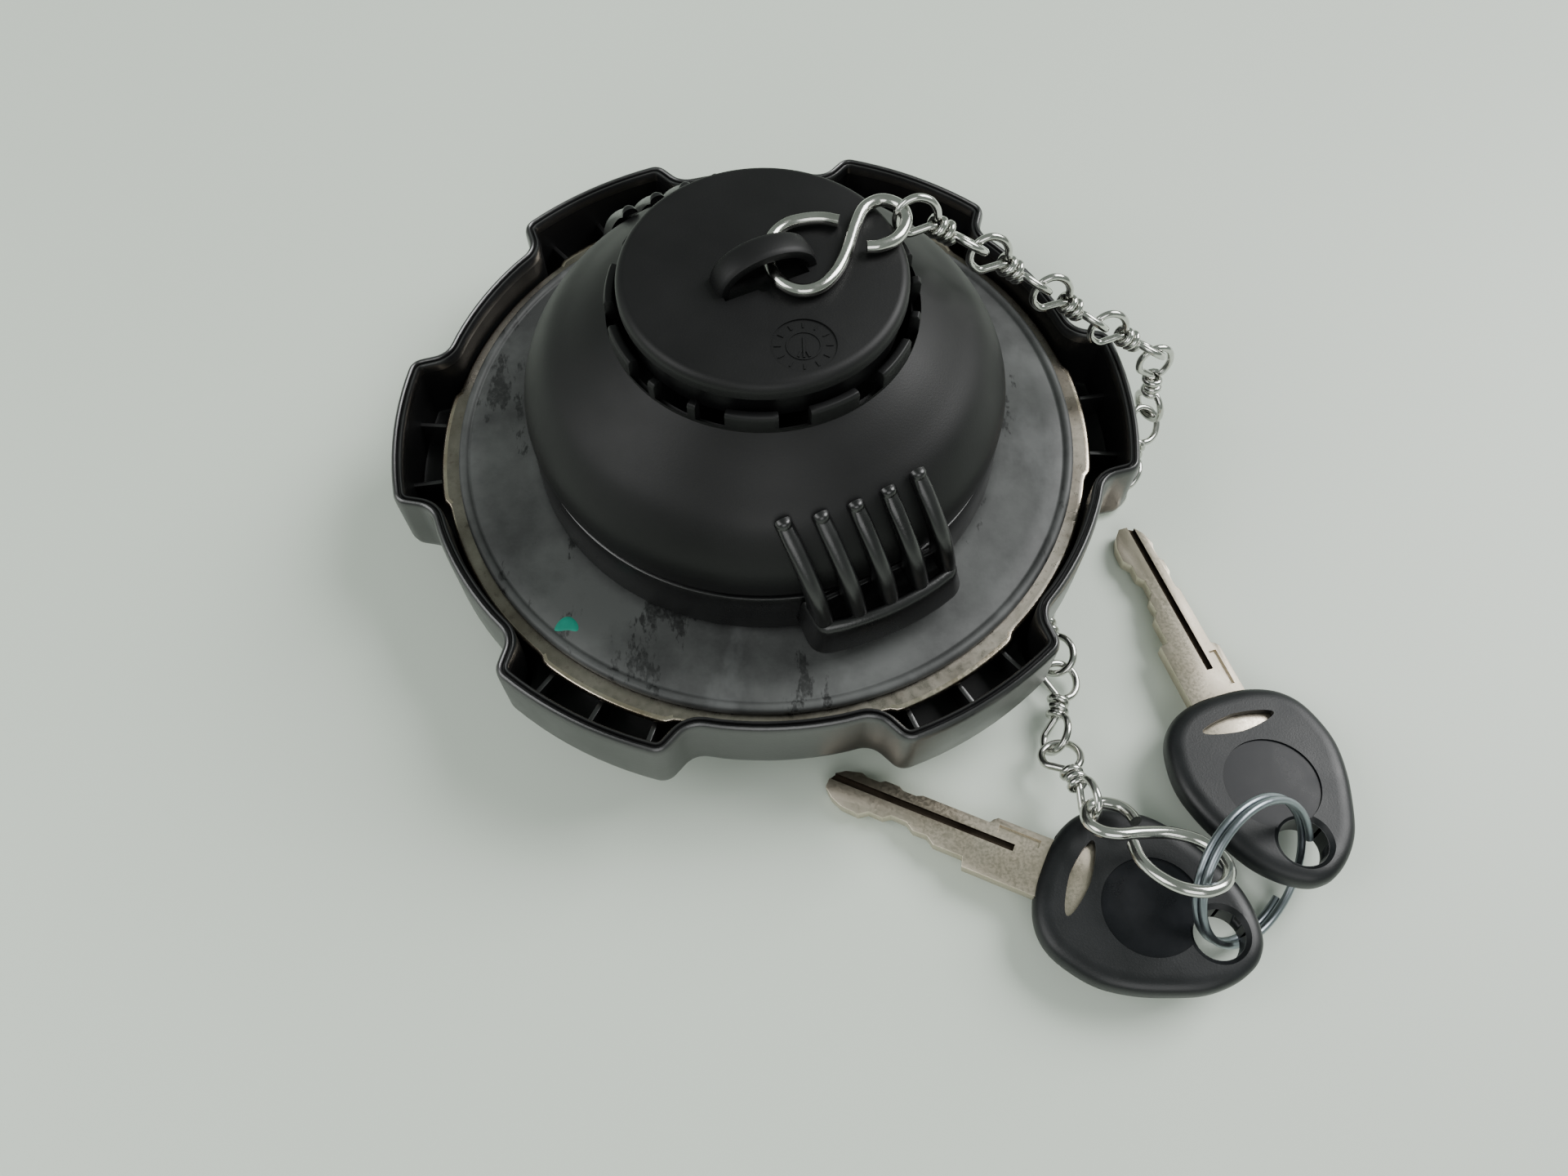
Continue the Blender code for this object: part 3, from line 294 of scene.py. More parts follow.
def wireTree():
    tree, given, out = newTree(
        "wireAlongPath", ("Radius", "NodeSocketFloat"), ("Sides", "NodeSocketInt"),
        ("Material", "NodeSocketMaterial"),
    )
    curve = addNode(tree, "GeometryNodeMeshToCurve", {"Mesh": given.outputs["Geometry"]})
    ring = addNode(tree, "GeometryNodeCurvePrimitiveCircle", {
        "Resolution": given.outputs["Sides"], "Radius": given.outputs["Radius"]})
    tube = addNode(tree, "GeometryNodeCurveToMesh", {
        "Curve": curve.outputs["Curve"], "Profile Curve": ring.outputs["Curve"], "Fill Caps": True})
    return finished(tree, tube.outputs["Mesh"], given, out)


def roundAxisTree():
    tree, given, out = newTree(
        "copiesRoundAxis", ("Count", "NodeSocketInt"), ("Start", "NodeSocketFloat"),
        ("Pitch", "NodeSocketFloat"), ("Material", "NodeSocketMaterial"),
    )
    points = addNode(tree, "GeometryNodePoints", {"Count": given.outputs["Count"]})
    index = addNode(tree, "GeometryNodeInputIndex")
    angle = addNode(tree, "ShaderNodeMath", {
        0: index.outputs["Index"], 1: given.outputs["Pitch"], 2: given.outputs["Start"],
    }, operation="MULTIPLY_ADD")
    turn = addNode(tree, "ShaderNodeCombineXYZ", {"Z": angle.outputs[0]})
    copies = addNode(tree, "GeometryNodeInstanceOnPoints", {
        "Points": points.outputs[0], "Instance": given.outputs["Geometry"],
        "Rotation": turn.outputs["Vector"]})
    return finished(tree, copies.outputs["Instances"], given, out)


wireAlongPath = wireTree()
copiesRoundAxis = roundAxisTree()


def throughTree(obj, tree, values, sharp=32):
    # Runs the tree on the object and leaves its result as a plain mesh.
    step = obj.modifiers.new(tree.name, "NODES")
    step.node_group = tree
    for item in tree.interface.items_tree:
        if item.in_out == "INPUT" and item.name in values:
            step[item.identifier] = values[item.name]
    bpy.context.view_layer.update()
    graph = bpy.context.evaluated_depsgraph_get()
    mesh = bpy.data.meshes.new_from_object(obj.evaluated_get(graph))
    obj.modifiers.clear()
    obj.data = mesh
    work = bmesh.new()
    work.from_mesh(mesh)
    bmesh.ops.remove_doubles(work, verts=work.verts, dist=1e-7)
    bmesh.ops.recalc_face_normals(work, faces=work.faces)
    work.to_mesh(mesh)
    work.free()
    mesh.shade_smooth()
    mesh.set_sharp_from_angle(angle=math.radians(sharp))
    return obj


def wireObject(name, points, radius, material, sides=14):
    mesh = bpy.data.meshes.new(name)
    edges = [(i, i + 1) for i in range(len(points) - 1)]
    mesh.from_pydata([Vector(p) * toMetres for p in points], edges, [])
    obj = bpy.data.objects.new(name, mesh)
    scene.collection.objects.link(obj)
    return throughTree(obj, wireAlongPath, {
        "Radius": radius * toMetres, "Sides": sides, "Material": material}, sharp=50)


def copiesObject(name, shapes, material, count, start, pitch, bevel=0.0):
    obj = meshObject(name, shapes, material, bevel=bevel)
    return throughTree(obj, copiesRoundAxis, {
        "Count": count, "Start": math.radians(start), "Pitch": math.radians(pitch),
        "Material": material})


# ---- materials ----

def newMaterial(name, roughness=0.5, metallic=0.0, **sockets):
    material = bpy.data.materials.new(name)
    material.use_nodes = True
    tree = material.node_tree
    shader = tree.nodes["Principled BSDF"]
    shader.inputs["Roughness"].default_value = roughness
    shader.inputs["Metallic"].default_value = metallic
    for label, value in sockets.items():
        shader.inputs[label.replace("_", " ")].default_value = value
    coord = addNode(tree, "ShaderNodeTexCoord").outputs["Object"]
    return material, tree, shader, coord


def noiseOf(tree, coord, size, detail=3.0, roughness=0.55, stretch=None):
    if stretch:
        coord = addNode(tree, "ShaderNodeMapping", {"Vector": coord, "Scale": stretch}).outputs[0]
    return addNode(tree, "ShaderNodeTexNoise", {
        "Vector": coord, "Scale": perMm(size), "Detail": detail, "Roughness": roughness,
    }).outputs["Fac"]


def mixed(tree, factor, first, second):
    # A colour mix whose ends may be hex values or sockets.
    node = addNode(tree, "ShaderNodeMix", {0: factor}, data_type="RGBA")
    for key, value in ((6, first), (7, second)):
        if isinstance(value, str):
            node.inputs[key].default_value = hexColour(value)
        else:
            tree.links.new(value, node.inputs[key])
    return node.outputs[2]


def ranged(tree, value, low, high, outLow=0.0, outHigh=1.0):
    return addNode(tree, "ShaderNodeMapRange", {
        "Value": value, "From Min": low, "From Max": high, "To Min": outLow, "To Max": outHigh,
    }).outputs["Result"]


def times(tree, first, second):
    return addNode(tree, "ShaderNodeMath", {0: first, 1: second}, operation="MULTIPLY").outputs[0]


def bumped(tree, shader, height, distance, strength=1.0, after=None):
    inputs = {"Height": height, "Distance": distance * toMetres, "Strength": strength}
    if after is not None:
        inputs["Normal"] = after
    node = addNode(tree, "ShaderNodeBump", inputs)
    tree.links.new(node.outputs["Normal"], shader.inputs["Normal"])
    return node.outputs["Normal"]


def mouldedNylon(name, look):
    # Glass-filled nylon off an eroded tool: near black, with a fine sparkle in its satin painted into the
    # colour as pale flecks, painted glints mixed with dust.
    material, tree, shader, coord = newMaterial(
        name, look["roughness"], IOR=1.53, Specular_IOR_Level=look["gloss"])
    cloudy = noiseOf(tree, coord, look["cloud"], 4.0)
    grain = noiseOf(tree, coord, look["grain"], 2.0, 0.6)
    colour = mixed(tree, ranged(tree, cloudy, 0.35, 0.7), look["base"], look["worn"])
    # Pale flecks along the grain: painted glints of the satin's sparkle, with some dust.
    colour = mixed(tree, ranged(tree, grain, 0.62, 0.8, 0.0, look["sparkle"]), colour, look["dust"])
    tree.links.new(colour, shader.inputs["Base Color"])
    rough = ranged(tree, cloudy, 0.3, 0.75, look["roughness"] - 0.05, look["roughness"] + 0.08)
    tree.links.new(rough, shader.inputs["Roughness"])
    bumped(tree, shader, grain, look["depth"], 0.6)
    return material


gripNylon = mouldedNylon("gripNylonEroded", {
    "base": "#0d0d0e", "worn": "#131314", "dust": "#3a3a3a", "roughness": 0.33, "gloss": 1.0,
    "cloud": 14, "grain": 0.35, "sparkle": 0.35, "depth": 0.03})
domeNylon = mouldedNylon("domeNylonMatt", {
    "base": "#09090a", "worn": "#0e0e0f", "dust": "#222223", "roughness": 0.48, "gloss": 0.32,
    "cloud": 18, "grain": 0.30, "sparkle": 0.25, "depth": 0.02})
lugNylon = mouldedNylon("lugNylonSatin", {
    "base": "#0a0a0b", "worn": "#101011", "dust": "#3c3c3d", "roughness": 0.30, "gloss": 0.7,
    "cloud": 9, "grain": 0.32, "sparkle": 0.35, "depth": 0.03})
keyPlastic = mouldedNylon("keyHeadPlastic", {
    "base": "#0f1113", "worn": "#15171a", "dust": "#393b3f", "roughness": 0.42, "gloss": 0.45,
    "cloud": 8, "grain": 0.30, "sparkle": 0.30, "depth": 0.03})
recessPlastic = mouldedNylon("keyRecessPolished", {
    "base": "#0d0f13", "worn": "#111318", "dust": "#1d1f25", "roughness": 0.30, "gloss": 0.28,
    "cloud": 5, "grain": 0.6, "sparkle": 0.10, "depth": 0.004})


def gasketRubber(look):
    # Nitrile rubber that has been handled: grey bloom, rubbed dark patches and fine scratches.
    material, tree, shader, coord = newMaterial("gasketNitrile", look["roughness"], IOR=1.5)
    bloom = noiseOf(tree, coord, look["bloom"], 6.0, 0.65)
    patch = noiseOf(tree, coord, look["patch"], 5.0, 0.62, (1.0, 0.6, 1.0))
    speck = noiseOf(tree, coord, look["speck"], 4.0, 0.7)
    skewed = addNode(tree, "ShaderNodeMapping", {
        "Vector": coord, "Rotation": (0.0, 0.0, 1.0), "Scale": (1.0, 0.4, 1.0)}).outputs[0]
    streak = noiseOf(tree, skewed, look["streak"], 6.0, 0.7)
    colour = mixed(tree, ranged(tree, bloom, 0.40, 0.62), look["dark"], look["grey"])
    chalk = ranged(tree, patch, 0.36, 0.46, 0.45, 0.0)
    colour = mixed(tree, chalk, colour, look["chalk"])
    rubbed = times(tree, ranged(tree, streak, 0.575, 0.60), ranged(tree, speck, 0.36, 0.54, 0.45, 0.9))
    colour = mixed(tree, rubbed, colour, look["rubbed"])
    tree.links.new(colour, shader.inputs["Base Color"])
    tree.links.new(ranged(tree, patch, 0.4, 0.7, 0.60, 0.42), shader.inputs["Roughness"])
    first = bumped(tree, shader, speck, 0.03, 0.5)
    bumped(tree, shader, streak, 0.03, 0.25, first)
    return material


nitrile = gasketRubber({
    "dark": "#3b3c3c", "grey": "#565857", "rubbed": "#1a1b1b", "chalk": "#6f7171",
    "roughness": 0.55, "bloom": 22, "patch": 17, "speck": 0.8, "streak": 11})


def platedSteel(name, look):
    # Plated sheet or wire: a clear metal with soft stains and the faint drag of the tool.
    material, tree, shader, coord = newMaterial(name, look["roughness"], 1.0)
    stain = noiseOf(tree, coord, look["stain"], 5.0, 0.6)
    fine = noiseOf(tree, coord, look["fine"], 3.0, 0.6)
    colour = mixed(tree, ranged(tree, stain, 0.42, 0.68), look["base"], look["stained"])
    colour = mixed(tree, ranged(tree, fine, 0.58, 0.72, 0.0, look["wear"]), colour, look["dull"])
    tree.links.new(colour, shader.inputs["Base Color"])
    spread = look["spread"]
    rough = ranged(tree, fine, 0.35, 0.7, look["roughness"] - spread, look["roughness"] + spread)
    tree.links.new(rough, shader.inputs["Roughness"])
    bumped(tree, shader, fine, look["depth"], 0.5)
    return material


edgeSteel = platedSteel("rolledSteelEdge", {
    "base": "#d8cdbb", "stained": "#b7a68f", "dull": "#8f8170", "roughness": 0.22, "spread": 0.06,
    "stain": 6, "fine": 0.6, "wear": 0.4, "depth": 0.01})
grimySteel = platedSteel("tarnishedSheetSteel", {
    "base": "#a39d92", "stained": "#7d766c", "dull": "#4a443d", "roughness": 0.34, "spread": 0.08,
    "stain": 11, "fine": 1.4, "wear": 0.45, "depth": 0.015})
chainWire = platedSteel("galvanisedWire", {
    "base": "#d4d4cf", "stained": "#bfbfb9", "dull": "#a3a39d", "roughness": 0.17, "spread": 0.04,
    "stain": 6, "fine": 0.7, "wear": 0.25, "depth": 0.004})
ringWire = platedSteel("springSteelRing", {
    "base": "#9ba3a9", "stained": "#8a9299", "dull": "#7a8289", "roughness": 0.36, "spread": 0.05,
    "stain": 6, "fine": 0.6, "wear": 0.2, "depth": 0.004})
keyMetal = platedSteel("nickelSilverKey", {
    "base": "#d6ccbb", "stained": "#c6bba8", "dull": "#a69b89", "roughness": 0.38, "spread": 0.08,
    "stain": 12, "fine": 0.45, "wear": 0.30, "depth": 0.008})
# A dark brown for the key's grooves: painted shade in the narrow grooves, with old dirt.
grooveShadeAndDirt = platedSteel("shadeAndDirtInGroove", {
    "base": "#4a4138", "stained": "#372f28", "dull": "#251f1a", "roughness": 0.55, "spread": 0.10,
    "stain": 5, "fine": 0.4, "wear": 0.5, "depth": 0.02})
springSteel = platedSteel("drawnSpringSteel", {
    "base": "#8f9092", "stained": "#77787a", "dull": "#5a5b5d", "roughness": 0.32, "spread": 0.06,
    "stain": 6, "fine": 0.5, "wear": 0.3, "depth": 0.01})
lockBrass = platedSteel("turnedBrass", {
    "base": "#c2a262", "stained": "#a0824a", "dull": "#7d6538", "roughness": 0.28, "spread": 0.08,
    "stain": 5, "fine": 0.4, "wear": 0.4, "depth": 0.01})
lockZinc = platedSteel("dieCastZinc", {
    "base": "#8e8f91", "stained": "#78797b", "dull": "#5f6062", "roughness": 0.48, "spread": 0.10,
    "stain": 7, "fine": 0.6, "wear": 0.5, "depth": 0.03})


def sealRubber():
    # Moulded seal rubber, plain black with a soft even sheen.
    material, tree, shader, coord = newMaterial("sealRubber", 0.6, IOR=1.5)
    fine = noiseOf(tree, coord, 0.6, 3.0)
    tree.links.new(mixed(tree, fine, "#101011", "#1b1b1c"), shader.inputs["Base Color"])
    bumped(tree, shader, fine, 0.02, 0.4)
    return material


softSeal = sealRubber()


def markerPaint():
    # An inspection dab of thick teal paint, slightly glossy and uneven.
    material, tree, shader, coord = newMaterial("inspectionPaint", 0.45, IOR=1.48)
    fine = noiseOf(tree, coord, 1.2, 3.0)
    tree.links.new(mixed(tree, fine, "#0f7f6c", "#1c9a84"), shader.inputs["Base Color"])
    bumped(tree, shader, fine, 0.05, 0.5)
    return material


tealPaint = markerPaint()


def tableTop():
    # A pale laminate top: almost even, faintly cool, with a soft broad sheen.
    material, tree, shader, coord = newMaterial("paleLaminate", 0.42, IOR=1.46)
    cloudy = noiseOf(tree, coord, 160, 3.0)
    fleck = noiseOf(tree, coord, 3.0, 2.0, 0.5)
    colour = mixed(tree, cloudy, "#dfe8dd", "#d9e2d6")
    colour = mixed(tree, ranged(tree, fleck, 0.80, 0.84, 0.0, 0.5), colour, "#8b8f8a")
    tree.links.new(colour, shader.inputs["Base Color"])
    return material


print("materials made:", len(bpy.data.materials))


# ---- grip cap ----

grip = {
    "lobes": 6, "firstLobe": 1.5, "lobeRadius": 63.28, "recessRadius": 57.9,
    "topHalf": 13.5, "rootHalf": 16.2, "topRound": 2.9, "rootRound": 3.6,
    "bottom": 8.0, "top": 23.1, "floor": 10.2, "drum": 53.5, "bore": 12.3,
}


def lobedLoop(look):
    corners = []
    pitch = 360 / look["lobes"]
    for k in range(look["lobes"]):
        middle = look["firstLobe"] + k * pitch
        top, root = look["topHalf"], look["rootHalf"]
        corners.append((*polar(look["recessRadius"], middle - root), look["rootRound"]))
        corners.append((*polar(look["lobeRadius"] + 0.05, middle - top), look["topRound"]))
        span = 2 * (top - 4.0)
        corners += [(*polar(look["lobeRadius"], middle - top + 4 + span * i / 8), 0) for i in range(9)]
        corners.append((*polar(look["lobeRadius"] + 0.05, middle + top), look["topRound"]))
        corners.append((*polar(look["recessRadius"], middle + root), look["rootRound"]))
        gap = pitch - 2 * root - 9
        corners += [
            (*polar(look["recessRadius"], middle + root + 4.5 + gap * i / 8), 0) for i in range(9)
        ]
    return filletLoop(corners)


def makeGrip(look):
    top, bottom, floor, drum = look["top"], look["bottom"], look["floor"], look["drum"]
    # Outside from the middle of the underside, up over the double lip, and down inside.
    section = [("at", look["bore"], bottom), ("at", 31.5, bottom), ("at", 51.0, bottom)]
    section += [("in", d, bottom + h) for d, h in (
        (4.4, 0.0), (2.9, 0.1), (1.7, 0.5), (0.8, 1.2), (0.25, 2.2), (0.0, 3.5))]
    section += [("in", 0.0, 16.0)]
    section += [("in", d, top - h) for d, h in (
        (0.0, 1.5), (0.06, 0.85), (0.22, 0.38), (0.45, 0.1), (0.72, 0.0), (0.95, 0.1),
        (1.08, 0.35), (1.14, 0.75), (1.28, 0.78), (1.36, 0.45), (1.52, 0.25), (1.72, 0.3),
        (1.9, 0.55), (1.98, 1.0), (2.0, 2.2))]
    firstInside = len(section)
    section += [("in", 2.0, 14.0), ("in", 2.05, floor + 0.7), ("in", 2.3, floor + 0.2),
                ("in", 2.8, floor), ("at", drum + 0.6, floor), ("at", drum, floor + 0.5)]
    section += [("at", drum, 15.2), ("at", drum - 0.3, 15.6), ("at", drum - 1.4, 15.6),
                ("at", drum - 1.7, 15.2), ("at", drum - 1.7, floor + 0.5),
                ("at", drum - 2.2, floor), ("at", 20.0, floor), ("at", look["bore"], floor - 0.3)]
    loop = lobedLoop(look)
    shell = meshObject("gripShell", [sweepShape(loop, section)], gripNylon, sharp=40)
    # The inner walls were left by a matt core, so they drink the light.
    shell.data.materials.append(domeNylon)
    for face in shell.data.polygons:
        if face.index >= (firstInside - 1) * len(loop):
            face.material_index = 1
    # Thin ribs stand in each lobe, three to a lobe, and two in the pair on the X axis.
    rib = boxShape((drum - 0.8, -0.42, floor - 0.5), (61.9, 0.42, 15.4))
    pitch = 360 / look["lobes"]
    ribs = []
    for k in range(look["lobes"] // 2):
        offsets = (-6.0, 6.0) if k == 0 else (-9.5, 0.0, 9.5)
        for n, offset in enumerate(offsets):
            ribs.append(copiesObject(
                f"lobeRib{k}{n}", [rib], gripNylon, 2,
                look["firstLobe"] + k * pitch + offset, 180, bevel=0.16))
    return place(joined("gripCapBody", [shell, *ribs]), "grip", "black_nylon", "grip_cap")


makeGrip(grip)
print("grip cap made")


# ---- lock boss on the outer side ----

boss = {
    "radius": 31.0, "recess": 24.0, "recessDepth": 3.2, "bore": 12.0, "top": 7.7,
    "seatAt": 15, "seatRadius": 1.65, "seatTop": 6.2,
}


def makeBoss(look):
    depth, top = look["recessDepth"], look["top"]
    profile = [
        (look["bore"], top), (look["radius"], top), (look["radius"], 2.0),
        (look["radius"] - 0.3, 1.0), (look["radius"] - 1.0, 0.3), (look["radius"] - 2.0, 0.0),
        (look["recess"] + 1.0, 0.0), (look["recess"] + 0.3, 0.2), (look["recess"], 0.8),
        (look["recess"], depth - 0.5), (look["recess"] - 0.5, depth), (look["bore"] + 1.5, depth),
        (look["bore"] + 1.3, depth - 0.4), (look["bore"] + 0.4, depth - 0.4), (look["bore"], depth),
    ]
    body = meshObject("bossBody", [turnShape(profile)], gripNylon)
    # The rivet's seat, sunk so that the flap's rivet stays clear.
    seat = pinShape(look["seatRadius"], 1, look["seatTop"], (look["seatAt"], 0), 32)
    cutAway(body, meshObject("bossSeat", [seat], gripNylon))
    return place(body, "grip", "black_nylon", "lock_escutcheon")


makeBoss(boss)

for nodeName, material in (
    ("flap_rivet", edgeSteel), ("lock_housing", lockZinc), ("housing_screw_1", edgeSteel),
    ("housing_screw_2", edgeSteel), ("housing_screw_3", edgeSteel), ("seal_ring", softSeal),
    ("keyway_flap", edgeSteel), ("lock_plug", lockBrass), ("lock_cam", lockZinc),
    ("lock_bolt", edgeSteel), ("spindle", domeNylon), ("retaining_clip", springSteel),
    ("spring_seat", edgeSteel), ("main_spring", springSteel), ("vent_cup", domeNylon),
    ("vent_disc", softSeal), ("vent_spring", springSteel),
):
    node = frame["nodes"][nodeName]
    for index in range(max(1, len(node.material_slots))):
        if len(node.material_slots) == 0:
            node.data.materials.append(material)
        else:
            node.material_slots[index].material = material
print("lock boss and inner parts finished")


# ---- pressure plate, gasket and paint dab ----

seal = {
    "plateRadius": 55.4, "tab": 0.85, "tabHalf": 12, "plateBore": 21.0,
    "plateBottom": 16.02, "plateTop": 17.2,
    "gasketBore": 37.6, "gasketRadius": 52.95, "gasketBottom": 17.5, "gasketTop": 19.0,
    "dab": (-32.3, -37.2),
}


def makeSeal(look):
    loop = []
    for i in range(360):
        angle = float(i)
        away = abs((angle - grip["firstLobe"] + 30) % 60 - 30)
        rise = min(max((look["tabHalf"] + 1 - away) / 2.0, 0.0), 1.0)
        rise = rise * rise * (3 - 2 * rise)
        loop.append(Vector(polar(look["plateRadius"] + look["tab"] * rise, angle)))
    low, high = look["plateBottom"], look["plateTop"]
    section = [("at", look["plateBore"], low), ("in", 0.6, low), ("in", 0.15, low + 0.2),
               ("in", 0.0, low + 0.6), ("in", 0.10, high - 0.28), ("in", 0.32, high - 0.06),
               ("in", 0.55, high), ("in", 1.0, high), ("in", 3.2, high),
               ("at", look["plateBore"], high)]
    plate = meshObject("plateDisc", [sweepShape(loop, section)], grimySteel, sharp=50)
    # The edge, where the sheet was rolled over, takes a brighter steel: a painted highlight along the edge.
    plate.data.materials.append(edgeSteel)
    outer = (look["plateRadius"] - 0.5) * toMetres
    for face in plate.data.polygons:
        if face.center.xy.length > outer:
            face.material_index = 1
    place(plate, "grip", "plated_steel", "pressure_plate")

    bore, outer = look["gasketBore"], look["gasketRadius"]
    low, high = look["gasketBottom"], look["gasketTop"]
    face = high - 0.4
    profile = [
        (bore, low), (outer, low), (outer, high - 0.7), (outer - 0.12, high - 0.35),
        (outer - 0.4, high - 0.1), (outer - 0.9, high), (outer - 1.3, high - 0.12),
        (outer - 1.55, high - 0.42), (outer - 1.75, high - 0.58), (outer - 2.0, high - 0.55),
        (outer - 2.3, face), (outer - 5.0, face + 0.02), (bore + 3, face), (bore + 0.5, face),
        (bore, face - 0.35),
    ]
    gasket = meshObject("gasketRing", [turnShape(profile, 192)], nitrile, sharp=50)
    place(gasket, "grip", "gasket_rubber", "gasket")

    outline = [(-1.9, -0.9), (-1.5, 0.3), (-0.6, 1.25), (0.5, 1.35), (1.4, 0.6), (1.9, -0.5),
               (1.6, -1.2), (0.2, -1.0), (-1.0, -1.1)]
    loop = [Vector(p[:2]) for p in smoothPath([(x, y, 0) for x, y in outline], 5, True)]
    rings = [[(p.x * s, p.y * s, h) for p in loop[::-1]] for s, h in (
        (1.0, -0.02), (1.0, 0.02), (0.93, 0.07), (0.6, 0.10))]
    dab = moved(loftShape(rings, closed=False, caps=True), Matrix.Translation((*look["dab"], face)))
    place(meshObject("inspectionDab", [dab], tealPaint), "grip", "gasket_rubber")


makeSeal(seal)
print("plate and gasket made")


# ---- the insert: collar with lugs, cone, castellations and cover ----

insert = {
    "lugAngle": -65.0, "lugReach": 46.0, "lugWidth": 26.4, "lugBottom": 21.5, "lugTop": 28.2,
    "ribs": 5, "ribPitch": 5.3, "ribWidth": 2.7, "ribSkew": -2.0, "ribTop": 43.0, "ribFoot": 28.7,
    "proudFoot": 4.5, "proudTop": 1.5, "clear": 0.4,
    "collar": 39.2, "collarBottom": 19.4, "ledge": 27.9, "domeLip": 29.5, "domeTop": 50.0,
    "ringRadius": 23.6, "ringInner": 22.0, "ringTop": 53.3,
}


def coneLine(look):
    # The cone's outer line from its top ring to its lip, as (radius, height).
    low, high = look["domeLip"], look["domeTop"]
    points = [(23.6, 1.0), (26.9, 0.89), (30.3, 0.765), (34.0, 0.625), (36.6, 0.465), (38.25, 0.315),
              (38.95, 0.18), (39.0, 0.075)]
    smooth = smoothPath([(r, low + s * (high - low), 0) for r, s in points], 5)
    return [(p.x, p.y) for p in smooth]


def coneRadius(look, height):
    line = coneLine(look)
    for (r1, z1), (r2, z2) in zip(line, line[1:]):
        if z2 <= height <= z1:
            return r2 + (r1 - r2) * (height - z2) / (z1 - z2)
    return 39.0


def finShape(look, across):
    # A rib up the cone, leaning a little to one side, with a round outer edge and a domed top.
    half = look["ribWidth"] / 2

    def reach(radius, middle):
        return math.sqrt(radius ** 2 - max(abs(middle) - half, 0) ** 2)

    stations = []
    steps = 14
    low = look["ribFoot"] - 2.5
    for i in range(steps + 1):
        z = low + (look["ribTop"] - low) * i / steps
        share = min(max((z - look["ribFoot"]) / (look["ribTop"] - look["ribFoot"]), 0), 1)
        inner = coneRadius(look, z) + look["clear"]
        proud = look["proudFoot"] + (look["proudTop"] - look["proudFoot"]) * share
        middle = across + look["ribSkew"] * share
        stations.append((reach(inner, middle), reach(inner + proud, middle), middle, z, 1.0))
    end = stations[-1]
    for shrink, lift in ((0.95, 0.40), (0.82, 0.75), (0.58, 1.02), (0.25, 1.16)):
        stations.append((end[0] + 0.05, end[1] - (1 - shrink) * 0.9, end[2], end[3] + lift, shrink))
    rings = []
    for inner, front, middle, z, scale in stations:
        width = half * scale
        ring = [(inner, middle - width, z)]
        centre = front - width
        ring += [
            (max(centre, inner + 0.05) + width * math.cos(a), middle + width * math.sin(a), z)
            for a in [math.radians(-90 + 18 * s) for s in range(11)]
        ]
        ring.append((inner, middle + width, z))
        rings.append(ring)
    return loftShape(rings, closed=False, caps=True)


def lugShapes(look):
    half = look["lugWidth"] / 2
    reach = look["lugReach"]
    edge = math.degrees(math.asin(half / reach))
    corners = [(36.5, -half + 0.4, 0), (41.0, -half, 0), (*polar(reach, -edge), 3.2)]
    corners += [(*polar(reach, a), 0) for a in (-10, -6, -2, 2, 6, 10)]
    corners += [(*polar(reach, edge), 3.2), (41.0, half, 0), (36.5, half - 0.4, 0)]
    loop = filletLoop(corners, 9)
    normals = outwardNormals(loop)
    rings = []
    for inset, z in (
        (1.2, look["lugBottom"]), (0.4, look["lugBottom"] + 0.2), (0.05, look["lugBottom"] + 0.7),
        (0.0, look["lugBottom"] + 1.2), (0.75, look["lugTop"] - 2.4), (0.95, look["lugTop"] - 1.2),
        (1.25, look["lugTop"] - 0.5), (1.75, look["lugTop"] - 0.1), (2.3, look["lugTop"]),
        (2.6, look["lugTop"] - 0.1), (2.8, look["lugTop"] - 0.4), (3.0, look["lugTop"] - 0.5),
    ):
        rings.append([(p.x - n.x * inset, p.y - n.y * inset, z) for p, n in zip(loop, normals)])
    shapes = [loftShape(rings, closed=False, caps=True)]
    for k in range(look["ribs"]):
        shapes.append(finShape(look, (k - (look["ribs"] - 1) / 2) * look["ribPitch"]))
    return shapes


def makeCarrier(look):
    collar, low, ledge = look["collar"], look["collarBottom"], look["ledge"]
    profile = [
        (19.6, low), (collar - 0.5, low), (collar, low + 0.5), (collar - 0.05, 24.0),
        (collar - 0.3, 26.6), (collar - 0.75, ledge - 0.15), (collar - 1.0, ledge),
        (37.4, ledge), (36.9, ledge - 0.2), (36.4, ledge + 0.5), (36.1, 31.0), (33.6, 31.0),
        (33.6, 24.0), (23.5, 24.0), (23.5, 34.4), (6.4, 34.4), (6.4, 32.6), (19.6, 32.6),
    ]
    body = meshObject("collarBody", [turnShape(profile)], lugNylon)
    lugs = copiesObject("lugs", lugShapes(look), lugNylon, 2, look["lugAngle"], 180)
    place(joined("lugCollar", [body, lugs]), "insert", "black_nylon_dark", "lug_carrier")


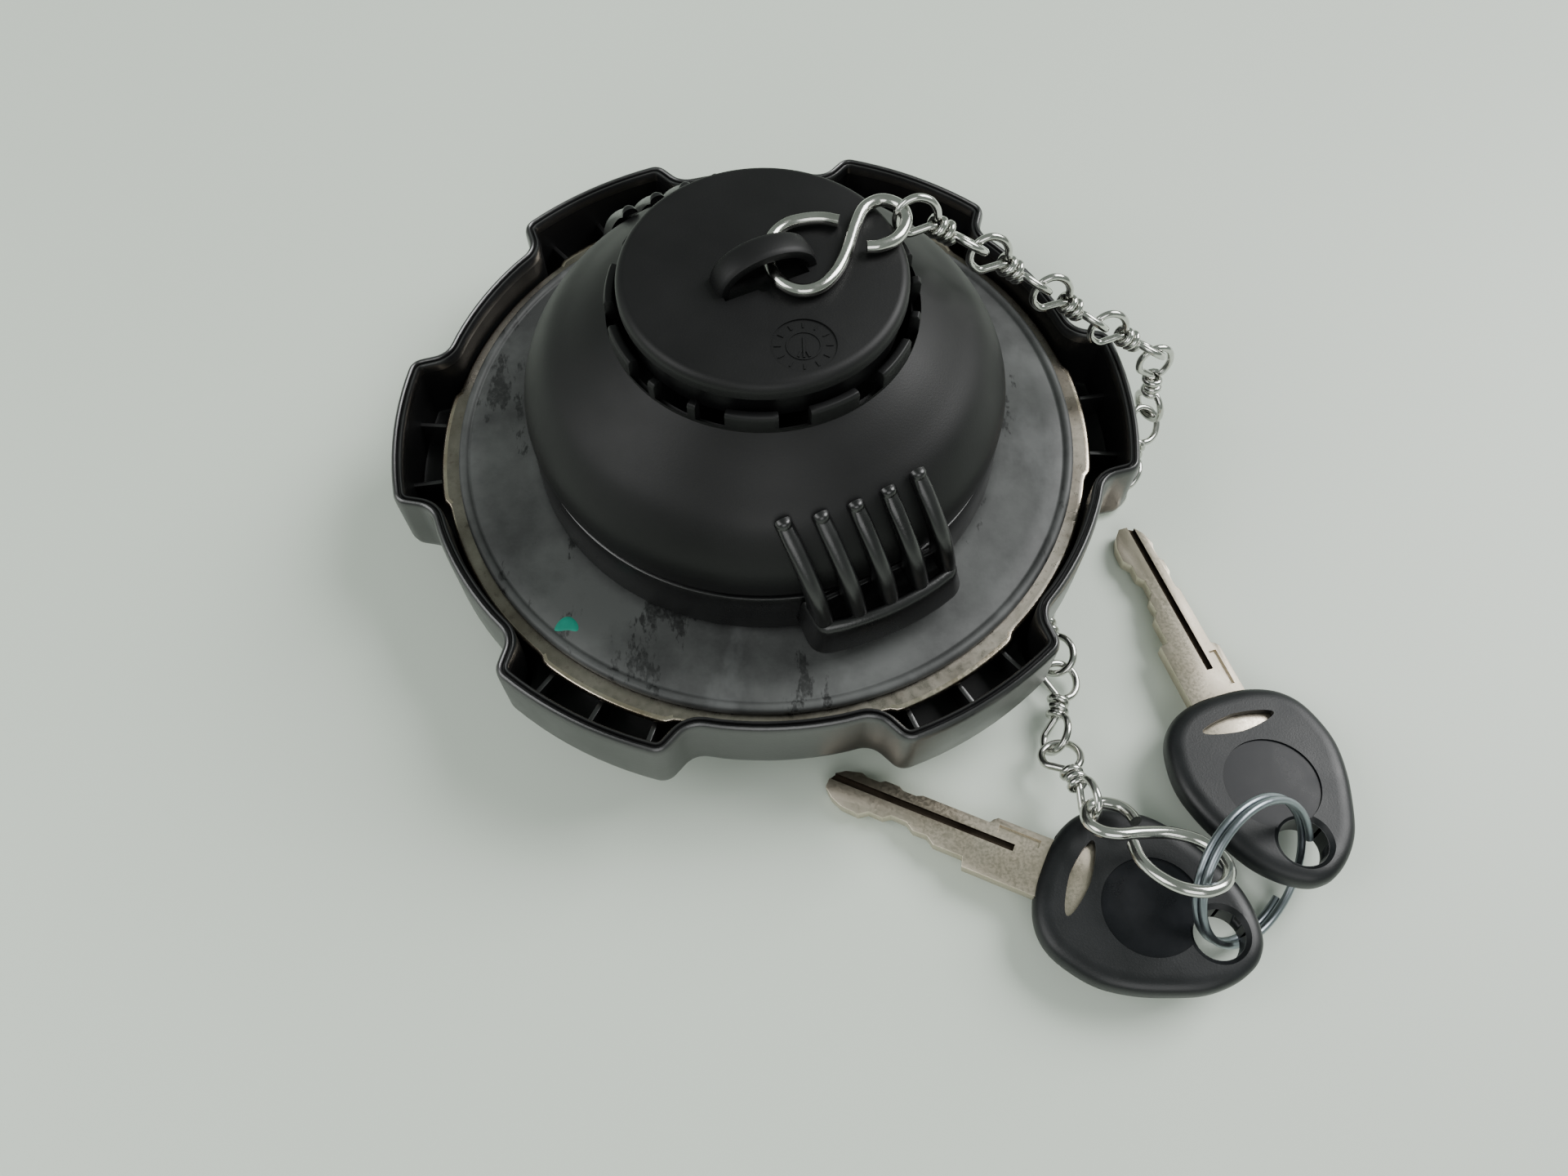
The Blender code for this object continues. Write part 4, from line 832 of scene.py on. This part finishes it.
def makeCone(look):
    line = coneLine(look)
    outer = [(look["ringRadius"], look["domeTop"] + 0.6)] + line + [(38.8, 29.8), (38.4, 29.5)]
    inner = [(37.4, 29.5), (37.1, 30.2)] + [(r - 2.0, z - 0.4) for r, z in line[::-1] if z > 31]
    inner[-1] = (look["ringInner"], look["domeTop"] - 3.0)
    profile = outer + inner + [(look["ringInner"] + 0.1, look["domeTop"] - 2.2)]
    body = meshObject("coneBody", [turnShape(profile, 192)], domeNylon)
    within, radius, top = look["ringInner"], look["ringRadius"], look["ringTop"]
    # Three merlons and the two nubs of a wide gap make one third of the castellated ring.
    third = []
    for centre, halfAngle in ((-30, 9.4), (0, 9.4), (30, 9.4), (51.5, 1.6), (68.5, 1.6)):
        rings = []
        steps = 8
        for i in range(steps + 1):
            angle = centre - halfAngle + 2 * halfAngle * i / steps
            rings.append([(*polar(r, angle), z) for r, z in (
                (within, look["domeTop"] - 2.4), (radius, look["domeTop"] - 1.2),
                (radius, top - 0.5), (radius - 0.35, top),
                (within + 0.25, top - 0.15), (within, top - 0.5))])
        third.append(loftShape(rings, closed=False, caps=True))
    ring = copiesObject("merlons", third, domeNylon, 3, look["lugAngle"], 120, bevel=0.16)
    place(joined("domeCone", [body, ring]), "insert", "black_nylon_dark", "insert_dome")


cover = {
    "radius": 21.5, "top": 57.4, "thickness": 3.0, "skirt": 50.25, "archAngle": 23.5,
    "archHalf": 8.0, "archWidth": 4.4, "archThick": 2.0, "archTop": 62.6,
    "dial": (5.5, -14.1), "dialRadius": 4.7, "dialDepth": 0.22,
    "vent": (0.15, -3.3), "ventRadius": 1.0,
}


def makeCover(look):
    radius, top = look["radius"], look["top"]
    edge = []
    for i in range(8):
        a = math.radians(90 * i / 7)
        edge.append((radius - 1.5 + 1.5 * math.sin(a), top - 1.5 + 1.5 * math.cos(a)))
    profile = [(0, top)] + edge + [
        (radius, top - 2.6), (radius - 0.3, top - 3.0), (radius - 0.8, top - 3.2),
        (radius - 0.8, look["skirt"]), (radius - 2.4, look["skirt"]), (radius - 2.4, top - 3.0),
        (0, top - 3.0)]
    disc = meshObject("coverDisc", [turnShape(profile, 160)], domeNylon)
    spin = Matrix.Rotation(math.radians(look["archAngle"]), 4, "Z")
    tools = (
        moved(boxShape((-7.3, -3.3, top - 2.5), (6.0, 1.6, top + 1)), spin),
        pinShape(look["ventRadius"], top - 5, top + 1, look["vent"], 32),
        pinShape(look["dialRadius"], top - look["dialDepth"], top + 1, look["dial"], 72),
    )
    for tool in tools:
        cutAway(disc, meshObject("tool", [tool], domeNylon))
    disc.data.shade_smooth()
    disc.data.set_sharp_from_angle(angle=math.radians(30))

    # The bridge: a rounded bar bent over the slot, whose feet run into the disc.
    rings = []
    steps = 28
    rise = look["archTop"] - top - look["archThick"] / 2
    for i in range(steps + 1):
        a = math.pi * i / steps
        along = -(look["archHalf"] - 1.0) * math.cos(a)
        height = top - 0.9 + (rise + 0.9) * math.sin(a) ** 0.8
        tangent = Vector((math.sin(a) * (look["archHalf"] - 1), 0, (rise + 0.9) * math.cos(a))).normalized()
        normal = Vector((-tangent.z, 0, tangent.x))
        ring = []
        for s in range(16):
            b = 2 * math.pi * s / 16
            across = math.copysign(abs(math.cos(b)) ** 0.6, math.cos(b)) * look["archWidth"] / 2
            out = math.copysign(abs(math.sin(b)) ** 0.6, math.sin(b)) * look["archThick"] / 2
            centre = Vector((along, -0.4, height))
            ring.append(centre + Vector((0, across, 0)) + normal * out)
        rings.append(ring)
    bridge = meshObject("bridge", [moved(loftShape(rings, closed=False, caps=True), spin)], domeNylon)

    # The date dial: a rim, twelve ticks and a pointer, all plain.
    low = top - 0.26
    reach = look["dialRadius"]
    tick = boxShape((reach - 1.5, -0.11, low), (reach - 0.55, 0.11, top - 0.08))
    ticks = copiesObject("ticks", [tick], domeNylon, 12, 0, 30)
    hub = meshObject("dialHub", [
        turnShape([(2.3, low), (2.5, low), (2.5, top - 0.1), (2.3, top - 0.1)], 48),
        boxShape((-0.14, -2.1, low), (0.14, 1.5, top - 0.05)),
        turned(boxShape((-0.14, -2.15, low), (0.14, -1.0, top - 0.05)), 22),
        turned(boxShape((-0.14, -2.15, low), (0.14, -1.0, top - 0.05)), -22)], domeNylon)
    dial = joined("dial", [ticks, hub])
    dial.data.transform(Matrix.Translation(Vector((*look["dial"], 0)) * toMetres))
    place(joined("coverCap", [disc, bridge, dial]), "insert", "black_nylon_dark", "dome_cover")


makeCarrier(insert)
makeCone(insert)
makeCover(cover)
print("insert made")


# ---- hooks, chain, ring and keys ----

jointAt = {j["name"]: Vector(j["pos_m"]) / toMetres for j in frame["joints"] if "pos_m" in j}
linkStarts = [jointAt[f"link_{k:02d}_swing"] for k in range(1, 12)] + [jointAt["key_hook_swing"]]

hooks = {
    "wire": 0.95,
    # At the keys: round the big loop, over the crossing, and round the small loop.
    "path": [(7.4, 2.4), (4.8, 4.6), (1.5, 5.7), (-2.0, 5.4), (-4.8, 3.4), (-5.9, 0.0), (-4.8, -3.4),
             (-2.0, -5.4), (1.5, -5.6), (5.0, -3.9), (8.0, -0.6), (10.0, 2.1), (12.3, 3.5), (14.8, 3.0),
             (16.5, 0.4), (15.8, -2.2), (13.5, -3.6), (11.3, -3.3), (9.8, -2.4)],
    # At the cap the hook has been squeezed: its long end lies against the crossing.
    "capPath": [(11.4, 8.0), (8.9, 8.6), (6.2, 8.4), (3.6, 7.5), (1.6, 5.3), (0.9, 2.2), (1.2, -1.0),
                (2.7, -3.8), (5.3, -5.3), (8.2, -4.6), (10.6, -1.8), (12.3, 2.2), (13.6, 6.6),
                (15.2, 10.4), (17.9, 12.0), (20.6, 10.7), (21.3, 7.6), (19.8, 4.4), (17.2, 2.9), (15.2, 2.7)],
    "height": 58.6,
}
chain = {
    "wire": 0.62, "pitch": 15.0, "slack": 0.35, "loopHalf": 3.05, "roll": 37.0, "turns": 1.25,
    "firstFlat": 6, "lastFlat": 8,
}


def planar(points, origin, along, across):
    along = along.normalized()
    across = (across - across.dot(along) * along).normalized()
    return [origin + along * p[0] + across * p[1] for p in points]


def squareTo(along, thread):
    along = along.normalized()
    return along.cross(thread - thread.dot(along) * along).normalized()


def rolled(vector, axis, angle):
    return Matrix.Rotation(angle, 3, axis) @ vector


def angleAbout(axis, start, end):
    turn = math.atan2(axis.dot(start.cross(end)), start.dot(end))
    return (turn + math.radians(40)) % math.pi - math.radians(40)


def linkFlats(look, ways, firstThread, lastThread):
    # The middle plane of each link's loops, carried from link to link. On the table they lie flat.
    flats = [None] * len(ways)
    first, last = look["firstFlat"], look["lastFlat"]
    for k in range(first, last + 1):
        flats[k] = Vector((0, 0, 1)).cross(ways[k]).normalized()
    for k in range(last + 1, len(ways)):
        flats[k] = ways[k - 1].rotation_difference(ways[k]) @ flats[k - 1]
    for k in range(first - 1, -1, -1):
        flats[k] = ways[k + 1].rotation_difference(ways[k]) @ flats[k + 1]
    roll = math.radians(look["roll"])
    start = -angleAbout(ways[0], squareTo(ways[0], firstThread), rolled(flats[0], ways[0], -roll))
    end = angleAbout(ways[-1], rolled(flats[-1], ways[-1], roll), squareTo(ways[-1], lastThread))
    for k in range(first):
        flats[k] = rolled(flats[k], ways[k], start * (first - k) / first)
    for k in range(last + 1, len(ways)):
        flats[k] = rolled(flats[k], ways[k], end * (k - last) / (len(ways) - 1 - last))
    return flats


def linkPath(look):
    # Half a link: from the wound tail round the waist, then round the loop and back to the middle.
    wire = look["wire"]
    wound = 2 * wire + 0.06
    end = look["pitch"] / 2 + wire + look["slack"] / 2
    half = look["loopHalf"]
    turns = look["turns"]
    steps = 16
    points = []
    for i in range(steps + 1):
        angle = 2 * math.pi * turns * (1 - i / steps)
        along = wire * 0.5 + (2 * wire + 0.06) * turns * i / steps
        points.append((along, wound * math.cos(angle), wound * math.sin(angle)))
    coilEnd = points[-1][0]
    loop = [(coilEnd + 1.1, half * 0.80, 0.0), (end - half * 1.15, half, 0.0)]
    loop += [(end - half + half * math.cos(math.radians(a)), half * math.sin(math.radians(a)), 0.0)
             for a in (62, 32, 0, -32, -62)]
    loop += [(end - half * 1.2, -half * 0.94, 0.0), (coilEnd + 1.3, -half * 0.52, 0.0),
             (coilEnd - 0.1, -0.22, 0.0)]
    smooth = smoothPath([points[-3], points[-2], points[-1], *loop, (0.3, 0.0, 0.0)], 5)[10:-1]
    near = [Vector(p) for p in points[:-1]] + smooth
    c, s = math.cos(math.radians(look["roll"])), math.sin(math.radians(look["roll"]))
    far = [Vector((p.x, c * p.y - s * p.z, s * p.y + c * p.z)) for p in near]
    other = [Vector((-p.x, c * p.y - s * p.z, -s * p.y - c * p.z)) for p in near]
    return far + other[::-1]


keys = {
    "places": (("key_1", (8.8, -58.5, 1.5), -26.2), ("key_2", (64.5, -12.4, 1.5), -75.4)),
    "hole": 62.7, "holeHeight": 7.6, "ringTilt": 53.0, "ringOffset": 4.6, "ringRadius": 11.7,
    "ringWire": 0.6, "ringTurns": 1.85, "hookAngle": 225.0,
    "headStart": 35.7, "headThick": 4.9, "bladeThick": 2.3, "bladeWidth": 6.9, "shoulder": 10.0,
    "holeRadius": 3.75, "recessRadius": 7.5, "recessDepth": 0.3, "recessAt": 17, "grooveDepth": 0.8,
}
keyPitch = math.asin((keys["holeHeight"] - 1.5) / keys["hole"])


def holeOf(place3, turn):
    flat = keys["hole"] * math.cos(keyPitch)
    return Vector(place3) + Vector((*polar(flat, turn), keys["hole"] * math.sin(keyPitch)))


def ringPoint(look, angle, drift=0.0):
    first, second = (holeOf(p, t) for _, p, t in look["places"])
    along = (second - first).normalized()
    west = Vector((0, 0, 1)).cross(along).normalized()
    tilt = math.radians(look["ringTilt"])
    lean = west * math.cos(tilt) + Vector((0, 0, 1)) * math.sin(tilt)
    centre = (first + second) / 2 + lean * look["ringOffset"]
    a = math.radians(angle)
    return (centre + along * look["ringRadius"] * math.cos(a) - lean * look["ringRadius"] * math.sin(a)
            + along.cross(lean) * drift)


def makeChain():
    points = smoothPath([(*p, hooks["height"]) for p in hooks["capPath"]], 6)
    # The long end lies a little under the crossing.
    for i, point in enumerate(points):
        share = min(i / 12, 1.0)
        point.z -= 0.05 * (1 - share)
    hook = wireObject("hookAtCap", points, hooks["wire"], chainWire, 16)
    place(hook, "hook_at_cap", "bright_wire", "cap_hook")

    ringAt = ringPoint(keys, keys["hookAngle"])
    start = linkStarts[-1]
    reach = (ringAt - start).normalized()
    ringWay = ringPoint(keys, keys["hookAngle"] + 5) - ringPoint(keys, keys["hookAngle"] - 5)
    sideways = squareTo(reach, ringWay.normalized() + Vector((0, 0, 1)))

    ways = [(b - a).normalized() for a, b in zip(linkStarts, linkStarts[1:])]
    flats = linkFlats(chain, ways, Vector((*polar(1, 118.6), 0)), sideways)
    shape = linkPath(chain)
    for k, (begin, along, flat) in enumerate(zip(linkStarts, ways, flats), 1):
        turn = Matrix((along, flat, along.cross(flat))).transposed()
        middle = begin + along * chain["pitch"] / 2
        points = [middle + turn @ p for p in shape]
        link = wireObject(f"chainLink{k:02d}", points, chain["wire"], chainWire, 12)
        place(link, f"link_{k:02d}", "bright_wire", f"chain_link_{k:02d}")

    # The second hook is the same wire form, its small loop on the last link.
    small = start + reach * (3.6 - hooks["wire"] - chain["slack"] / 2)
    big = small + reach * 12.9
    points = planar(smoothPath([(*p, 0) for p in hooks["path"]], 6), big, -reach, sideways)
    hook = wireObject("hookAtKeys", points, hooks["wire"], chainWire, 16)
    place(hook, "hook_at_keys", "bright_wire", "key_hook")

    count = 150
    gap = 2 * keys["ringWire"] + 0.12
    turns = keys["ringTurns"]
    points = [ringPoint(keys, 70 + 360 * turns * i / count, (i / count - 0.5) * turns * gap)
              for i in range(count + 1)]
    ring = wireObject("splitRing", points, keys["ringWire"], ringWire, 12)
    place(ring, "ring", "bright_wire", "split_ring")


def headLoop(inset=0.0):
    # The head's outline: blunt at the blade, widest a third along, and rounder at the ring hole.
    widths = [(0.0, 0.0), (0.3, 4.6), (1.9, 8.9), (4.8, 11.8), (9.0, 13.3), (13.6, 13.75), (18.6, 12.75),
              (23.6, 10.8), (27.8, 8.6), (31.0, 5.6), (32.9, 2.5)]
    lower = [(x, -w) for x, w in widths[1:]][::-1]
    loop = smoothPath([(keys["headStart"] + x, y, 0) for x, y in widths + [(33.4, 0.0)] + lower], 5, True)
    flat = [Vector((p.x, p.y)) for p in loop][::-1]
    normals = outwardNormals(flat)
    return [p - n * inset for p, n in zip(flat, normals)]


def makeKey(name, place3, turn, body):
    look = keys
    pose = (Matrix.Translation(place3) @ Euler((0, -keyPitch, math.radians(turn))).to_matrix().to_4x4())
    half = look["headThick"] / 2
    rings = []
    edge = [(2.9, 0.0), (2.3, 0.0), (1.5, 0.14), (0.85, 0.42), (0.4, 0.8), (0.1, 1.35), (0.0, 2.0)]
    for inset, z in [(d, -half + h) for d, h in edge] + [(d, half - h) for d, h in edge[::-1]]:
        rings.append([(p.x, p.y, z) for p in headLoop(inset)])
    head = meshObject(f"{name}Head", [loftShape(rings, closed=False, caps=True)], keyPlastic)
    start = look["headStart"]
    floorAt, centreAt = half - look["recessDepth"], start + look["recessAt"]
    holeAt, holeRadius = look["hole"], look["holeRadius"]
    tools = [
        [pinShape(holeRadius, -9, 9, (holeAt, 0), 48)],
        [moved(turnShape([(0, half - 0.7), (3.8, half - 0.7), (4.5, half + 0.01), (4.5, 9), (0, 9)], 48),
               Matrix.Translation((holeAt, 0, 0)))],
        [pinShape(look["recessRadius"], floorAt, 9, (centreAt, 0), 64)],
    ]
    lens = [Vector((start + 6.0 + 1.65 * math.cos(a) * (1 - 0.25 * abs(math.sin(a))), 6.3 * math.sin(a)))
            for a in [math.radians(10 * i) for i in range(36)]]
    tools.append([loftShape([[(p.x, p.y, z) for p in lens] for z in (look["bladeThick"] / 2 + 0.1, 9)],
                            closed=False, caps=True)])
    gap = look["bladeThick"] / 2 + 0.25
    for low, wide in ((start - 2, look["shoulder"] / 2 + 0.3), (start + 2.6, 7.0)):
        tools.append([boxShape((low, -wide, -gap), (start + 10.3, wide, gap))])
    for shapes in tools:
        cutAway(head, meshObject("tool", shapes, keyPlastic))
    head.data.shade_smooth()
    head.data.set_sharp_from_angle(angle=math.radians(24))
    # The recess floor is left polished by the tool, so it takes a smoother finish.
    head.data.materials.append(recessPlastic)
    for face in head.data.polygons:
        c = Vector(face.center) / toMetres
        away = (c.xy - Vector((centreAt, 0))).length
        if abs(c.z - floorAt) < 0.02 and away < look["recessRadius"]:
            face.material_index = 1

    width, shoulder = look["bladeWidth"] / 2, look["shoulder"] / 2
    low = [(0.0, -1.2), (1.6, -2.5), (3.6, -3.3), (6.6, -width), (8.0, -2.4), (10.4, -2.5),
           (11.6, -1.6), (14.2, -1.7), (15.6, -2.6), (18.0, -2.5), (19.3, -width), (24.2, -width),
           (24.6, -shoulder), (start + 2.9, -shoulder), (start + 2.9, -6.7), (start + 10, -6.7)]
    high = [(start + 10, 6.7), (start + 2.9, 6.7), (start + 2.9, shoulder * 0.92),
            (27.2, shoulder * 0.92), (26.6, shoulder * 0.82), (26.2, width), (15.0, width),
            (14.0, 3.0), (11.8, 3.0), (11.0, width), (8.6, width), (7.8, 2.9), (5.6, 2.9),
            (4.6, 3.3), (2.0, 2.6), (0.6, 1.6), (0.0, 0.6)]
    outline = [Vector(p) for p in low + high]
    thick = look["bladeThick"] / 2
    sides = [[(p.x, p.y, z) for p in outline] for z in (-thick, thick)]
    blade = meshObject(
        f"{name}Blade", [loftShape(sides, closed=False, caps=True)], keyMetal, bevel=0.12)
    deep = thick - look["grooveDepth"]
    grooves = (
        ((-2, 0.35, deep), (31.0, 1.5, 9)), ((-2, -1.5, -9), (31.0, -0.35, -deep)),
        ((27.8, 2.3, thick - 0.45), (34.5, 3.6, 9)),
    )
    for lowCorner, highCorner in grooves:
        cutAway(blade, meshObject("tool", [boxShape(lowCorner, highCorner)], keyMetal))
    blade.data.shade_smooth()
    blade.data.set_sharp_from_angle(angle=math.radians(25))
    # The grooves take a dark brown: painted shade in the narrow grooves, with old dirt.
    blade.data.materials.append(grooveShadeAndDirt)
    for face in blade.data.polygons:
        c = Vector(face.center) / toMetres
        inGroove = 0.2 < abs(c.y) < 1.6 and abs(c.z) < thick - 0.2 and 0.3 < c.x < 31.2
        if inGroove and (abs(face.normal.y) > 0.5 or abs(abs(c.z) - deep) < 0.05):
            face.material_index = 1
    metres = Matrix.Scale(toMetres, 4) @ pose @ Matrix.Scale(1 / toMetres, 4)
    for obj, slotName, node in (
        (head, "black_nylon", f"{name}_head"), (blade, "key_nickel", f"{name}_blade"),
    ):
        obj.data.transform(metres)
        place(obj, body, slotName, node)


makeChain()
for (keyName, keyPlace, keyTurn), bodyName in zip(keys["places"], ("key_one", "key_two")):
    makeKey(keyName, keyPlace, keyTurn, bodyName)
print("chain and keys made")


# ---- table, light and camera ----

far = 1500
corners = [(-far, -far, 0), (far, -far, 0), (far, far, 0), (-far, far, 0)]
floor = meshObject("tableFloor", [(corners, [(0, 1, 2, 3)])], tableTop())

lights = {
    "window": {"size": 1.0, "power": 32.0, "at": (1.15, 0.55, 1.15)},
    "left": {"size": 1.0, "power": 11.0, "at": (-1.2, -0.2, 1.0)},
    "front": {"size": 0.9, "power": 6.0, "at": (0.1, -1.1, 0.9)},
    "world": "#cfdbd2", "worldPower": 0.40,
}
for label in ("window", "left", "front"):
    look = lights[label]
    data = bpy.data.lights.new(label, "AREA")
    data.shape, data.size, data.energy = "SQUARE", look["size"], look["power"]
    lamp = bpy.data.objects.new(label, data)
    lamp.location = look["at"]
    lamp.rotation_euler = (-Vector(look["at"])).to_track_quat("-Z", "Y").to_euler()
    scene.collection.objects.link(lamp)
world = bpy.data.worlds.new("room")
world.use_nodes = True
world.node_tree.nodes["Background"].inputs["Color"].default_value = hexColour(lights["world"])
world.node_tree.nodes["Background"].inputs["Strength"].default_value = lights["worldPower"]
scene.world = world

view = {"at": (0, -121.6, 186.4), "down": 61.77, "yaw": 1.42, "roll": -0.12, "lens": 27.19}
data = bpy.data.cameras.new("viewpoint")
data.sensor_width, data.lens = 36.0, view["lens"]
data.clip_start = 0.01
camera = bpy.data.objects.new("viewpoint", data)
down, yaw = math.radians(view["down"]), math.radians(view["yaw"])
ahead = Vector((math.sin(yaw) * math.cos(down), math.cos(yaw) * math.cos(down), -math.sin(down)))
facing = ahead.to_track_quat("-Z", "Y").to_matrix().to_4x4()
camera.matrix_world = (Matrix.Translation(Vector(view["at"]) * toMetres) @ facing
                       @ Matrix.Rotation(math.radians(view["roll"]), 4, "Z"))
scene.collection.objects.link(camera)
scene.camera = camera
print("stage set")
